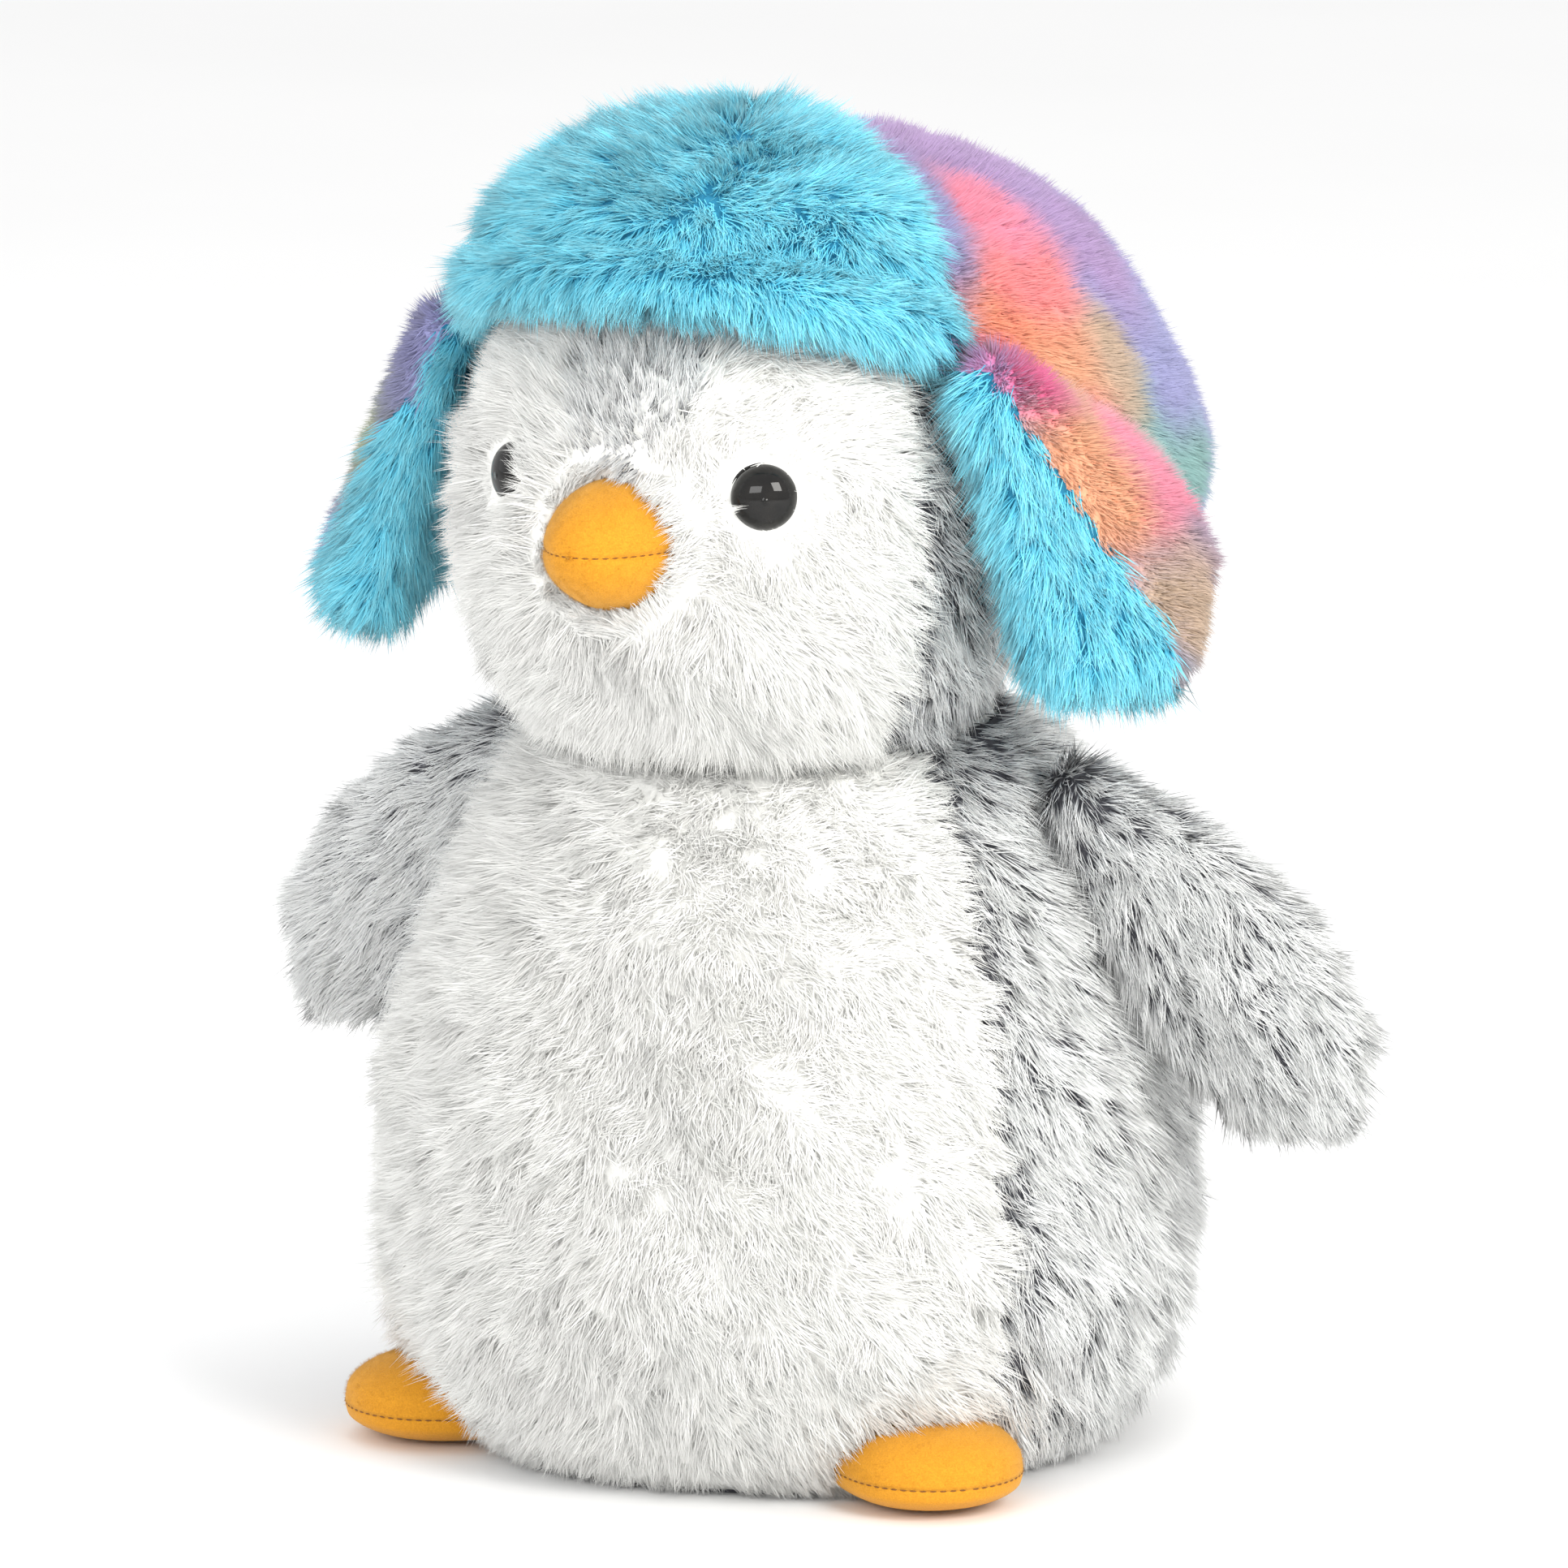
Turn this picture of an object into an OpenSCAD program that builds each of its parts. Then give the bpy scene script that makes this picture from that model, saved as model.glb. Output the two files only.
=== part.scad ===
// Plush penguin wearing a fur trapper hat. It sits upright on a flat base and faces -Y.
// The left side of the penguin is +X. All sizes are in millimetres.
// Fur panels are drawn as thick as their backing and pile together.

/* [Body] */
// Radius of the flat underside of the body
base_r = 70; // [66:1:74]
// Largest radius of the body, at the tips of the fur
body_r = 88; // [84:1:92]
// Height of the widest place of the body
belly_z = 52; // [45:1:60]
// Radius of the body at the neck crease
neck_r = 52; // [48:1:56]
// Height of the neck crease above the floor
neck_z = 157; // [156:1:159]
// Angle from the front to the seam between the white belly and the grey back
belly_seam = 62; // [55:1:70]

/* [Head] */
// Largest radius of the head
head_r = 64; // [61:1:66]
// Height of the widest place of the head
cheek_z = 200; // [196:1:204]
// Radius of the head at the neck crease
chin_r = 46; // [42:1:50]
// Height of the top of the head inside the hat
head_top = 276; // [272:1:278]
// How far the axis of the head lies in front of the axis of the body
head_forward = 15; // [13:1:17]
// Angle from the front to the seam between the white face and the grey back of the head
face_seam = 65; // [60:1:70]
// Half width of the grey forehead stripe
stripe_half = 15; // [12:1:18]

/* [Eyes] */
// Radius of an eye
eye_r = 7.5; // [6.5:0.5:8]
// Height of the domed front of an eye
eye_dome = 5; // [4:0.5:6]
// Height of the eyes above the floor
eye_z = 213; // [211:1:216]
// Angle from the front to an eye, round the axis of the head
eye_angle = 32.5; // [28:0.5:36]
// Radius of the stem of an eye
stem_r = 2.3; // [2:0.1:2.5]

/* [Beak] */
// Radius of the beak at its widest
beak_r = 15.5; // [14:0.5:16]
// Half length of the egg shape of the beak
beak_half = 24; // [22:1:26]
// Height of the beak seam above the floor
beak_z = 202; // [200:1:203]
// Thickness of the felt of the beak and the feet
felt = 1.5; // [1:0.5:2]

/* [Hat] */
// Radius of the crown of the hat
hat_r = 79; // [77:1:80]
// Height of the centre of the crown
hat_z = 200; // [198:1:202]
// Slope of the hem of the crown, down towards the back
hem_angle = 27.5; // [25:0.5:30]
// Angle from the front to the end of the turned-up brim
brim_end = 72; // [68:1:74]

/* [Flippers and feet] */
// Radius of the shoulder of a flipper
shoulder_r = 10; // [9.5:0.5:10.5]
// Length of a foot
foot_length = 48; // [44:1:50]
// Width of a foot
foot_width = 40; // [36:1:42]
// Thickness of a foot
foot_height = 19; // [17:1:20]
// Angle from the front to the direction that a foot points in
foot_angle = 53; // [50:1:56]

/* [Fabric] */
// Thickness of the long fur with its backing
pile = 8; // [7:0.5:8]
// Thickness of the fur on the flippers and ear flaps
short_pile = 4.5; // [4:0.5:5]
// Clearance between parts that move against each other
clear = 0.3; // [0.3:0.1:0.5]

/* [Hidden] */

fine = 96;          // sides drawn on round forms
coarse = 28;        // sides drawn on blended soft forms
steps = 16;         // straight steps in a curved outline
flat_angle = 5;     // half the angle of the small flat at the top of a dome
seam = 0.1;         // gap left at a sewn seam
inner = 0.2;        // gap between a filling and its cover
slack = 0.6;        // gap where the two outlines have different steps
over = 1;           // how far a cutting form goes past what it cuts
far = 1000;         // much larger than the whole toy
front = 270;        // direction of the front, round the Z axis

body_y = -3;                                // axis of the body
head_y = body_y - head_forward;             // axis of the head
head_z = neck_z + clear;                    // underside of the head
hat_y = body_y + 17;                        // centre of the crown
brow_r = 66;                                // the crown over the forehead
brow_z = 214;
hem_y = -38;                                // the hem of the crown starts here, behind the brim
hem_z = 240;
base_t = 3;                                 // thickness of the base panel
filling_lift = 2;                           // from the hem of the crown up to its filling
eye_seat = head_r - pile + 0.8;             // distance from the head's axis to the back of an eye
stem_length = 12;
stem_gap = 0.05;                            // between the stem and the washer on it
washer_r = 6;
washer_t = 2;
washer_depth = 3.2;                         // from the back of an eye to its washer
washer_room = 0.4;                          // between a washer and the filling
socket_r = eye_r + 0.7;                     // the fur is parted round an eye
beak_y = body_y - 66;                       // centre of the egg shape of the beak
beak_back = head_y - head_r + pile - inner; // back of the beak, on the filling of the head
beak_room = 0.4;                            // between the beak and the fur of the face
stripe_point = [beak_z + 14, 6];            // lower end of the stripe: height, half width
stripe_wide_z = beak_z + 26;                // the stripe has its full width from here up
pouch_y = 6;                                // the pellet pouch lies a little behind the body's axis
pouch_r = [40, 34];                         // at its bottom and top
pouch_h = 18;
pouch_lift = 2;                             // from the base panel up to the pouch
foot_reach = 72;                            // from the body's axis to the middle of a foot
foot_pocket_r = foot_length / 2 + 3;
foot_pocket_h = foot_height + 7;
foot_edge = 0.7;                            // power of the outline: the smaller, the squarer

// Outline of the brim's cross-section: distance from the head's axis, height
brim_outline = [
  [52, 252], [59, 248], [63.5, 250], [64.5, 256], [63, 263], [59, 271],
  [52.5, 279], [44, 286], [32, 291], [20, 293], [20, 255]
];
brim_core = [45, 266];
brim_wall = 0.42;                           // thickness of the brim's cover, as a share of the way in
brim_wall_gap = 0.01;
brim_end_wall = [10, 10.4];                 // angles that the cover and the filling stop short of its end

// Spheres that a flipper is blended over: x, y, z, radius. The first is the shoulder.
flipper_points = [
  [76, 2, 141, shoulder_r], [96, 4, 131, 10], [122, 8, 100, 9.5], [119, 9, 83, 10],
  [107, 8, 86, 10], [99, 5, 106, 7.5]
];
// Spheres that an ear flap is blended over. The first two lie on the hem, which is the fold line.
flap_points = [
  [66, -33, 236, 8.5], [73, 12, 211, 8], [93, -6, 194, 9.5], [96, -20, 180, 10.5], [84, -34, 182, 10]
];

function fall(low, high, t, power) = low + (high - low) * pow(max(cos(90 * t), 0), power);
function body_radius(z) = z < belly_z
  ? base_r + (body_r - base_r) * pow(sin(90 * z / belly_z), 0.8)
  : fall(neck_r, body_r, (z - belly_z) / (neck_z - belly_z), 0.75);
function head_radius(z) = z < cheek_z
  ? fall(chin_r, head_r, (cheek_z - z) / (cheek_z - head_z), 0.6)
  : head_r * sqrt(max(1 - pow((z - cheek_z) / (head_top - cheek_z), 2), 0));
function body_side(inset, low) = [
  for (i = [0:steps]) let (z = low + (neck_z - low) * i / steps) [body_radius(z) - inset, z]
];
function head_side(inset) =
  let (
    low = [for (i = [0:steps]) let (z = head_z + (cheek_z - head_z) * i / steps) [head_radius(z) - inset, z]],
    high = [for (i = [1:steps]) let (a = (90 - flat_angle) * i / steps)
      [(head_r - inset) * cos(a), cheek_z + (head_top - cheek_z - inset) * sin(a)]]
  )
  concat(low, high, [[0, high[steps - 1][1]]]);
function flip(points) = [for (i = [len(points) - 1:-1:0]) points[i]];
function place(p) = [p[0], p[1], p[2]];
function normal_of(p, a, b, c) =
  let (n = cross(place(p[b]) - place(p[a]), place(p[c]) - place(p[a]))) n / norm(n);

// --- helpers ---

// Everything on the far side of a plane, which passes through a point
module beyond(point, direction) {
  translate(point)
    rotate([0, acos(direction[2]), atan2(direction[1], direction[0])])
      translate([-far / 2, -far / 2, 0])
        cube([far, far, far]);
}

module sector(from, to) {
  rotate([0, 0, front + from])
    rotate_extrude(angle = to - from, $fn = fine)
      children();
}

module on_head() {
  translate([0, head_y, 0])
    children();
}

module on_body() {
  translate([0, body_y, 0])
    children();
}

module both_sides() {
  children();
  mirror([1, 0, 0])
    children();
}

module blend(points, inset) {
  hull()
    for (p = points)
      translate(place(p))
        sphere(r = p[3] - inset, $fn = coarse);
}

// --- torso ---

module body_form(inset, low) {
  on_body()
    rotate_extrude($fn = fine)
      polygon(concat([[0, low]], body_side(inset, low), [[0, neck_z]]));
}

module body_shell(from, to) {
  on_body()
    sector(from, to)
      polygon(concat(body_side(0, 0), flip(body_side(pile, 0))));
}

// Room for the feet under the edge of the body
module foot_pockets() {
  both_sides()
    foot_place()
      cylinder(r = foot_pocket_r, h = 2 * foot_pocket_h, center = true, $fn = fine);
}

module shoulder_sockets() {
  both_sides()
    translate(place(flipper_points[0]))
      sphere(r = shoulder_r + clear, $fn = fine);
}

module belly_panel() {
  color("white")
    difference() {
      body_shell(-belly_seam, belly_seam);
      foot_pockets();
    }
}

module back_panel(from, to) {
  color("silver")
    difference() {
      body_shell(from, to);
      foot_pockets();
      shoulder_sockets();
    }
}

module base_panel() {
  color("gainsboro")
    difference() {
      on_body()
        cylinder(r = base_r - pile - inner, h = base_t, $fn = fine);
      foot_pockets();
    }
}

module pouch_form(grow) {
  on_body()
    translate([0, pouch_y, base_t + pouch_lift - grow])
      cylinder(r1 = pouch_r[0] + grow, r2 = pouch_r[1] + grow, h = pouch_h + 2 * grow, $fn = fine);
}

module body_filling() {
  color("ivory")
    difference() {
      body_form(pile + slack, base_t + inner);
      foot_pockets();
      shoulder_sockets();
      pouch_form(inner);
    }
}

module pellet_pouch() {
  color("beige")
    pouch_form(0);
}

// --- head ---

module head_form(inset) {
  on_head()
    rotate_extrude($fn = fine)
      polygon(concat([[0, head_z]], head_side(inset)));
}

module head_shell(from, to) {
  on_head()
    sector(from, to)
      polygon(concat(head_side(0), flip(head_side(pile))));
}

module eye_place(side) {
  on_head()
    translate([0, 0, eye_z])
      rotate([0, 0, side * eye_angle])
        translate([0, -eye_seat, 0])
          rotate([90, 0, 0])
            children();
}

module eye_openings() {
  both_sides()
    eye_place(1) {
      cylinder(r = socket_r, h = 3 * pile, $fn = fine);
      translate([0, 0, -pile])
        cylinder(r = stem_r + seam, h = 2 * pile, $fn = fine);
    }
}

module washer_pockets() {
  both_sides()
    eye_place(1)
      translate([0, 0, -stem_length - over])
        cylinder(r = washer_r + washer_room, h = stem_length + over, $fn = fine);
}

module beak_opening() {
  translate([0, beak_back + felt + over, beak_z])
    rotate([90, 0, 0])
      cylinder(r = beak_r, h = beak_half, $fn = fine);
}

module stripe_outline() {
  translate([0, head_y, 0])
    rotate([90, 0, 0])
      linear_extrude(height = 2 * head_r)
        polygon([
          [-stripe_half, head_top + over], [stripe_half, head_top + over],
          [stripe_half, stripe_wide_z], [stripe_point[1], stripe_point[0]],
          [-stripe_point[1], stripe_point[0]], [-stripe_half, stripe_wide_z]
        ]);
}

module face_panel() {
  color("white")
    difference() {
      head_shell(-face_seam, face_seam);
      stripe_outline();
      eye_openings();
      beak_opening();
    }
}

module forehead_stripe() {
  color("gray")
    difference() {
      intersection() {
        head_shell(-face_seam, face_seam);
        stripe_outline();
      }
      beak_opening();
    }
}

module head_back(from, to) {
  color("silver")
    difference() {
      head_shell(from, to);
      fold_lines();
    }
}

module head_filling() {
  color("ivory")
    difference() {
      head_form(pile + inner);
      washer_pockets();
    }
}

module eye(side) {
  dome_r = (eye_r * eye_r + eye_dome * eye_dome) / (2 * eye_dome);
  color("black")
    eye_place(side) {
      intersection() {
        translate([0, 0, eye_dome - dome_r])
          sphere(r = dome_r, $fn = fine);
        cylinder(r = eye_r + over, h = eye_dome + over, $fn = fine);
      }
      translate([0, 0, -stem_length])
        cylinder(r = stem_r, h = stem_length, $fn = fine);
    }
}

module eye_washer(side) {
  color("white")
    eye_place(side)
      translate([0, 0, -washer_t - washer_depth])
        difference() {
          cylinder(r = washer_r, h = washer_t, $fn = fine);
          translate([0, 0, -over])
            cylinder(r = stem_r + stem_gap, h = washer_t + 2 * over, $fn = fine);
        }
}

// Egg shape, cut off flat at the back. deep moves the cut further back.
module beak_form(inset, deep) {
  tip = beak_half - inset;
  back = beak_y - beak_back - deep;
  start = asin(back / tip);
  translate([0, beak_y, beak_z])
    rotate([90, 0, 0])
      rotate_extrude($fn = fine)
        polygon(concat(
          [[0, back]],
          [for (i = [0:steps]) let (a = start + (90 - flat_angle - start) * i / steps)
            [(beak_r - beak_room - inset) * cos(a), tip * sin(a)]],
          [[0, tip * sin(90 - flat_angle)]]
        ));
}

module beak_half_shell(up) {
  color("orange")
    difference() {
      intersection() {
        beak_form(0, 0);
        beyond([0, beak_y, beak_z + up * seam / 2], [0, 0, up]);
      }
      beak_form(felt, over);
    }
}

module beak_filling() {
  color("ivory")
    beak_form(felt + inner, 0);
}

// --- hat ---

// Outline of the crown, round the line from the back of the hat to the brow. Its ends are small flats.
function crown_side(grow) =
  let (
    d = norm([hat_y - head_y, brow_z - hat_z]),
    turn = acos((hat_r - brow_r) / d),
    brow = [for (i = [0:steps]) let (a = flat_angle + (turn - flat_angle) * i / steps)
      [(brow_r + grow) * sin(a), d + (brow_r + grow) * cos(a)]],
    back = [for (i = [0:steps]) let (a = turn + (180 - flat_angle - turn) * i / steps)
      [(hat_r + grow) * sin(a), (hat_r + grow) * cos(a)]]
  )
  concat([[0, brow[0][1]]], brow, back, [[0, back[steps][1]]]);

module crown_axis() {
  translate([0, hat_y, hat_z])
    rotate([atan2(hat_y - head_y, brow_z - hat_z), 0, 0])
      children();
}

module crown_form(grow) {
  crown_axis()
    rotate_extrude($fn = fine)
      polygon(crown_side(grow));
}

// Left or right half of the crown, as thick as its pile
module crown_shell(side) {
  crown_axis()
    rotate([0, 0, -90 * side])
      rotate_extrude(angle = 180, $fn = fine)
        polygon(concat(crown_side(0), flip(crown_side(-pile))));
}

module above_hem(lift) {
  translate([0, hem_y, hem_z + lift])
    rotate([-hem_angle, 0, 0])
      translate([-far / 2, -far / 2, 0])
        cube([far, far, far]);
}

module fold_line(grow) {
  start = place(flap_points[0]);
  along = place(flap_points[1]) - start;
  r = flap_points[0][3] + grow;
  translate(start)
    rotate([0, acos(along[2] / norm(along)), atan2(along[1], along[0])])
      translate([0, 0, -r])
        cylinder(r = r, h = norm(along) + 2 * r, $fn = fine);
}

// Room for the ear flaps to fold along the hem
module fold_lines() {
  both_sides()
    fold_line(clear);
}

module hat_crown(side) {
  color("plum")
    difference() {
      intersection() {
        crown_shell(side);
        above_hem(0);
      }
      head_form(-inner);
      fold_lines();
    }
}

module hat_filling() {
  color("ivory")
    difference() {
      intersection() {
        crown_form(-pile - inner);
        above_hem(filling_lift);
      }
      head_form(-inner);
      fold_lines();
    }
}

function brim_ring(share) = [for (p = brim_outline) p + (brim_core - p) * share];

module brim_form(share, reach) {
  on_head()
    sector(-reach, reach)
      polygon(brim_ring(share));
}

module under_brim() {
  crown_form(inner);
  head_form(-inner);
}

module hat_brim() {
  color("skyblue")
    difference() {
      brim_form(0, brim_end);
      brim_form(brim_wall, brim_end - brim_end_wall[0]);
      under_brim();
    }
}

module hat_brim_filling() {
  color("ivory")
    difference() {
      brim_form(brim_wall + brim_wall_gap, brim_end - brim_end_wall[1]);
      under_brim();
    }
}

// --- ear flaps ---

module ear_flap_half(direction) {
  n = normal_of(flap_points, 0, 1, 3) * direction;
  difference() {
    intersection() {
      blend(flap_points, 0);
      beyond(place(flap_points[3]) + n * seam / 2, n);
    }
    blend(flap_points, short_pile);
  }
}

module ear_flap_outer() {
  color("lightpink")
    ear_flap_half(-1);
}

module ear_flap_lining() {
  color("skyblue")
    ear_flap_half(1);
}

module ear_flap_filling() {
  color("ivory")
    blend(flap_points, short_pile + inner);
}

// --- flippers ---

module flipper_half(direction) {
  n = normal_of(flipper_points, 0, 2, 4) * direction;
  color("darkgray")
    difference() {
      intersection() {
        blend(flipper_points, 0);
        beyond(place(flipper_points[0]) + n * seam / 2, n);
      }
      blend(flipper_points, short_pile);
    }
}

module flipper_filling() {
  color("ivory")
    blend(flipper_points, short_pile + inner);
}

// --- feet ---

module foot_place() {
  on_body()
    rotate([0, 0, foot_angle])
      translate([0, -foot_reach, 0])
        children();
}

module foot_form(inset) {
  r = foot_width / 2 - inset;
  half = foot_height / 2 - inset;
  stretch = (foot_length - foot_width) / 2;
  foot_place()
    translate([0, 0, foot_height / 2])
      hull()
        for (side = [-1, 1])
          translate([0, side * stretch, 0])
            rotate_extrude($fn = coarse)
              polygon([for (i = [0:steps]) let (a = -90 + 180 * i / steps)
                [r * pow(max(cos(a), 0), foot_edge), half * sin(a)]]);
}

module foot_half(up) {
  color("orange")
    difference() {
      intersection() {
        foot_form(0);
        beyond([0, 0, foot_height / 2 + up * seam / 2], [0, 0, up]);
      }
      foot_form(felt);
    }
}

module foot_filling() {
  color("ivory")
    foot_form(felt + inner);
}

belly_panel();
back_panel(belly_seam, 180);  // back_panel_left
back_panel(-180, -belly_seam);  // back_panel_right
base_panel();
body_filling();
pellet_pouch();
face_panel();
forehead_stripe();
head_back(face_seam, 180);  // head_back_left
head_back(-180, -face_seam);  // head_back_right
head_filling();
eye(1);  // eye_left
eye(-1);  // eye_right
eye_washer(1);  // eye_washer_left
eye_washer(-1);  // eye_washer_right
beak_half_shell(1);  // beak_upper
beak_half_shell(-1);  // beak_lower
beak_filling();
hat_brim();
hat_brim_filling();
hat_crown(1);  // hat_crown_left
hat_crown(-1);  // hat_crown_right
hat_filling();
ear_flap_outer();  // ear_flap_left_outer
ear_flap_lining();  // ear_flap_left_lining
ear_flap_filling();  // ear_flap_left_filling
mirror([1, 0, 0]) ear_flap_outer();  // ear_flap_right_outer
mirror([1, 0, 0]) ear_flap_lining();  // ear_flap_right_lining
mirror([1, 0, 0]) ear_flap_filling();  // ear_flap_right_filling
flipper_half(-1);  // flipper_left_front
flipper_half(1);  // flipper_left_back
flipper_filling();  // flipper_left_filling
mirror([1, 0, 0]) flipper_half(-1);  // flipper_right_front
mirror([1, 0, 0]) flipper_half(1);  // flipper_right_back
mirror([1, 0, 0]) flipper_filling();  // flipper_right_filling
foot_half(1);  // foot_left_top
foot_half(-1);  // foot_left_sole
foot_filling();  // foot_left_filling
mirror([1, 0, 0]) foot_half(1);  // foot_right_top
mirror([1, 0, 0]) foot_half(-1);  // foot_right_sole
mirror([1, 0, 0]) foot_filling();  // foot_right_filling
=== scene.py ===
import math

import bmesh
import bpy
import numpy as np
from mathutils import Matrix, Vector


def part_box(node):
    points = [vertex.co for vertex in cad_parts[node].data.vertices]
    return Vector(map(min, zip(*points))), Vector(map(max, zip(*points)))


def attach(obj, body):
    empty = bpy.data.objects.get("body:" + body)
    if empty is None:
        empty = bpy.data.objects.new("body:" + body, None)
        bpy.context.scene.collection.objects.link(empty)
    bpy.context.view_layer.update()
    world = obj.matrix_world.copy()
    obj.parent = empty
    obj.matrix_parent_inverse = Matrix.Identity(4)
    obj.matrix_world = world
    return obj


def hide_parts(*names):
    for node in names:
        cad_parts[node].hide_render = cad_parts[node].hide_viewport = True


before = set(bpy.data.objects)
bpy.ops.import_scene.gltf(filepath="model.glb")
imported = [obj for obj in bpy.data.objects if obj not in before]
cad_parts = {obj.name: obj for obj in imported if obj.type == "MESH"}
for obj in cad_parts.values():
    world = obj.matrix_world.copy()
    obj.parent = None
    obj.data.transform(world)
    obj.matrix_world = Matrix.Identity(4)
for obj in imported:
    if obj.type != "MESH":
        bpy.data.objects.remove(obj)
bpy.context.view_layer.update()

MM = 0.001
FUR_SHARE = 1.0   # share of the strands that are grown; below 1 there are fewer

# ---------------------------------------------------------------- sizes, from the frame


def box(node):
    low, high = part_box(node)
    return np.array(low), np.array(high)


def middle(node):
    low, high = box(node)
    return (low + high) / 2


BODY_AXIS = middle("pellet_pouch") * [1, 0, 0] + [0, middle("body_filling")[1], 0]
NECK_Z = box("belly_panel")[1][2]
BODY_R = box("back_panel_left")[1][0]
BELLY_Z = 52 * MM
BASE_R = 70 * MM
NECK_R = 52 * MM
BELLY_SEAM = math.radians(62)

HEAD_AXIS = middle("head_filling") * [1, 1, 0]
HEAD_R = box("head_back_left")[1][0]
HEAD_LOW = box("face_panel")[0][2]
HEAD_TOP = box("head_back_left")[1][2]
CHEEK_Z = 200 * MM
CHIN_R = 46 * MM
FACE_SEAM = math.radians(65)
STRIPE_HALF = box("forehead_stripe")[1][0]

HAT_R = box("hat_crown_left")[1][0]
HAT_CENTRE = np.array([0, box("hat_crown_left")[1][1] - HAT_R, 200 * MM])
BROW_R = 66 * MM
BROW_CENTRE = np.array([0, HEAD_AXIS[1], 214 * MM])
HEM_Y = -38 * MM
HEM_Z = 240 * MM
HEM_SLOPE = math.tan(math.radians(27.5))
BRIM_END = math.radians(72)
BRIM_SPREAD = 1.09

BEAK_LOW, BEAK_HIGH = box("beak_upper")
BEAK_Z = BEAK_LOW[2]
BEAK_TIP = BEAK_LOW[1]
BEAK_R = BEAK_HIGH[2] - BEAK_Z
BEAK_HALF = 24 * MM
BEAK_MIDDLE = BEAK_TIP + BEAK_HALF
EYE_R = 7.5 * MM
EYE_Z = 213 * MM
EYE_TURN = math.radians(32.5)
EYE_SUNK = 9.6 * MM

# ---------------------------------------------------------------- small maths


def unit(v):
    return v / np.maximum(np.linalg.norm(v, axis=-1, keepdims=True), 1e-9)


def dot(a, b):
    return np.sum(a * b, axis=-1, keepdims=True)


def smooth(x, low, high):
    t = np.clip((x - low) / (high - low), 0, 1)
    return t * t * (3 - 2 * t)


def bump(distance, radius):
    return np.exp(-(distance / radius) ** 2)


def ripple(points, size, seed, waves=6):
    """Smooth noise from -1 to 1, whose lumps are about size across."""
    rng = np.random.default_rng(seed)
    total = np.zeros(points.shape[:-1])
    for _ in range(waves):
        way = unit(rng.normal(size=3)) * rng.uniform(0.6, 1.6) * math.pi / size
        total = total + np.sin(points @ way + rng.uniform(0, 2 * math.pi))
    return total / math.sqrt(waves)


def fall(low, high, t, power):
    return low + (high - low) * np.maximum(np.cos(math.pi / 2 * t), 0) ** power


def body_radius(z):
    rise = np.sin(np.clip(math.pi / 2 * z / BELLY_Z, 0, math.pi / 2)) ** 0.8
    below = BASE_R + (BODY_R - BASE_R) * rise
    above = fall(NECK_R, BODY_R, np.clip((z - BELLY_Z) / (NECK_Z - BELLY_Z), 0, 1), 0.75)
    return np.where(z < BELLY_Z, below, above)


def head_radius(z):
    t_low = np.clip((CHEEK_Z - z) / (CHEEK_Z - HEAD_LOW), 0, 1)
    t_high = np.clip((z - CHEEK_Z) / (HEAD_TOP - CHEEK_Z), 0, 1)
    return np.where(z < CHEEK_Z, fall(CHIN_R, HEAD_R, t_low, 0.6), HEAD_R * np.sqrt(1 - t_high**2))


def around(axis, turn, r, z):
    """Points at an angle from the front (-Y) towards +X, round a vertical axis."""
    return np.stack([axis[0] + r * np.sin(turn), axis[1] - r * np.cos(turn), z + 0 * r], axis=-1)


# ---------------------------------------------------------------- meshes


def belong(body, slot, *objects):
    for obj in objects:
        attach(obj, body)


class Patch:
    """A triangulated surface that fur grows on."""

    def __init__(self, points, triangles, normals=None):
        self.points = points
        self.triangles = triangles
        a, b, c = (points[triangles[:, k]] for k in range(3))
        cross = np.cross(b - a, c - a)
        self.area = np.linalg.norm(cross, axis=1) / 2
        if normals is None:
            normals = np.zeros_like(points)
            for k in range(3):
                np.add.at(normals, triangles[:, k], cross)
            normals = unit(normals)
            if np.sum(normals * (points - points.mean(axis=0))) < 0:
                normals = -normals
        self.normals = normals

    def sample(self, density, rng):
        """Random points on the surface, density to the square millimetre."""
        share = self.area * (density / MM**2)
        count = rng.poisson(share)
        which = np.repeat(np.arange(len(share)), count)
        u = np.sqrt(rng.random(len(which)))[:, None]
        v = rng.random(len(which))[:, None]
        corner = self.triangles[which]
        weight = (1 - u, u * (1 - v), u * v)
        point = sum(w * self.points[corner[:, k]] for k, w in enumerate(weight))
        normal = sum(w * self.normals[corner[:, k]] for k, w in enumerate(weight))
        return point, unit(normal)


def grid_quads(rows, columns, wrap=False):
    r, c = np.meshgrid(np.arange(rows - 1), np.arange(columns if wrap else columns - 1), indexing="ij")
    near = r * columns + c
    beside = r * columns + (c + 1) % columns
    return np.stack([near, beside, beside + columns, near + columns], axis=-1).reshape(-1, 4)


def grid_patch(grid, wrap=False):
    rows, columns = grid.shape[:2]
    quads = grid_quads(rows, columns, wrap)
    triangles = np.concatenate([quads[:, [0, 1, 2]], quads[:, [0, 2, 3]]])
    return Patch(grid.reshape(-1, 3), triangles)


def new_object(name, points, faces, material=None, smooth_faces=True):
    mesh = bpy.data.meshes.new(name)
    mesh.from_pydata([tuple(p) for p in points], [], [tuple(int(i) for i in f) for f in faces])
    mesh.validate()
    if smooth_faces:
        mesh.polygons.foreach_set("use_smooth", [True] * len(mesh.polygons))
    obj = bpy.data.objects.new(name, mesh)
    bpy.context.scene.collection.objects.link(obj)
    if material:
        mesh.materials.append(material)
    return obj


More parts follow.
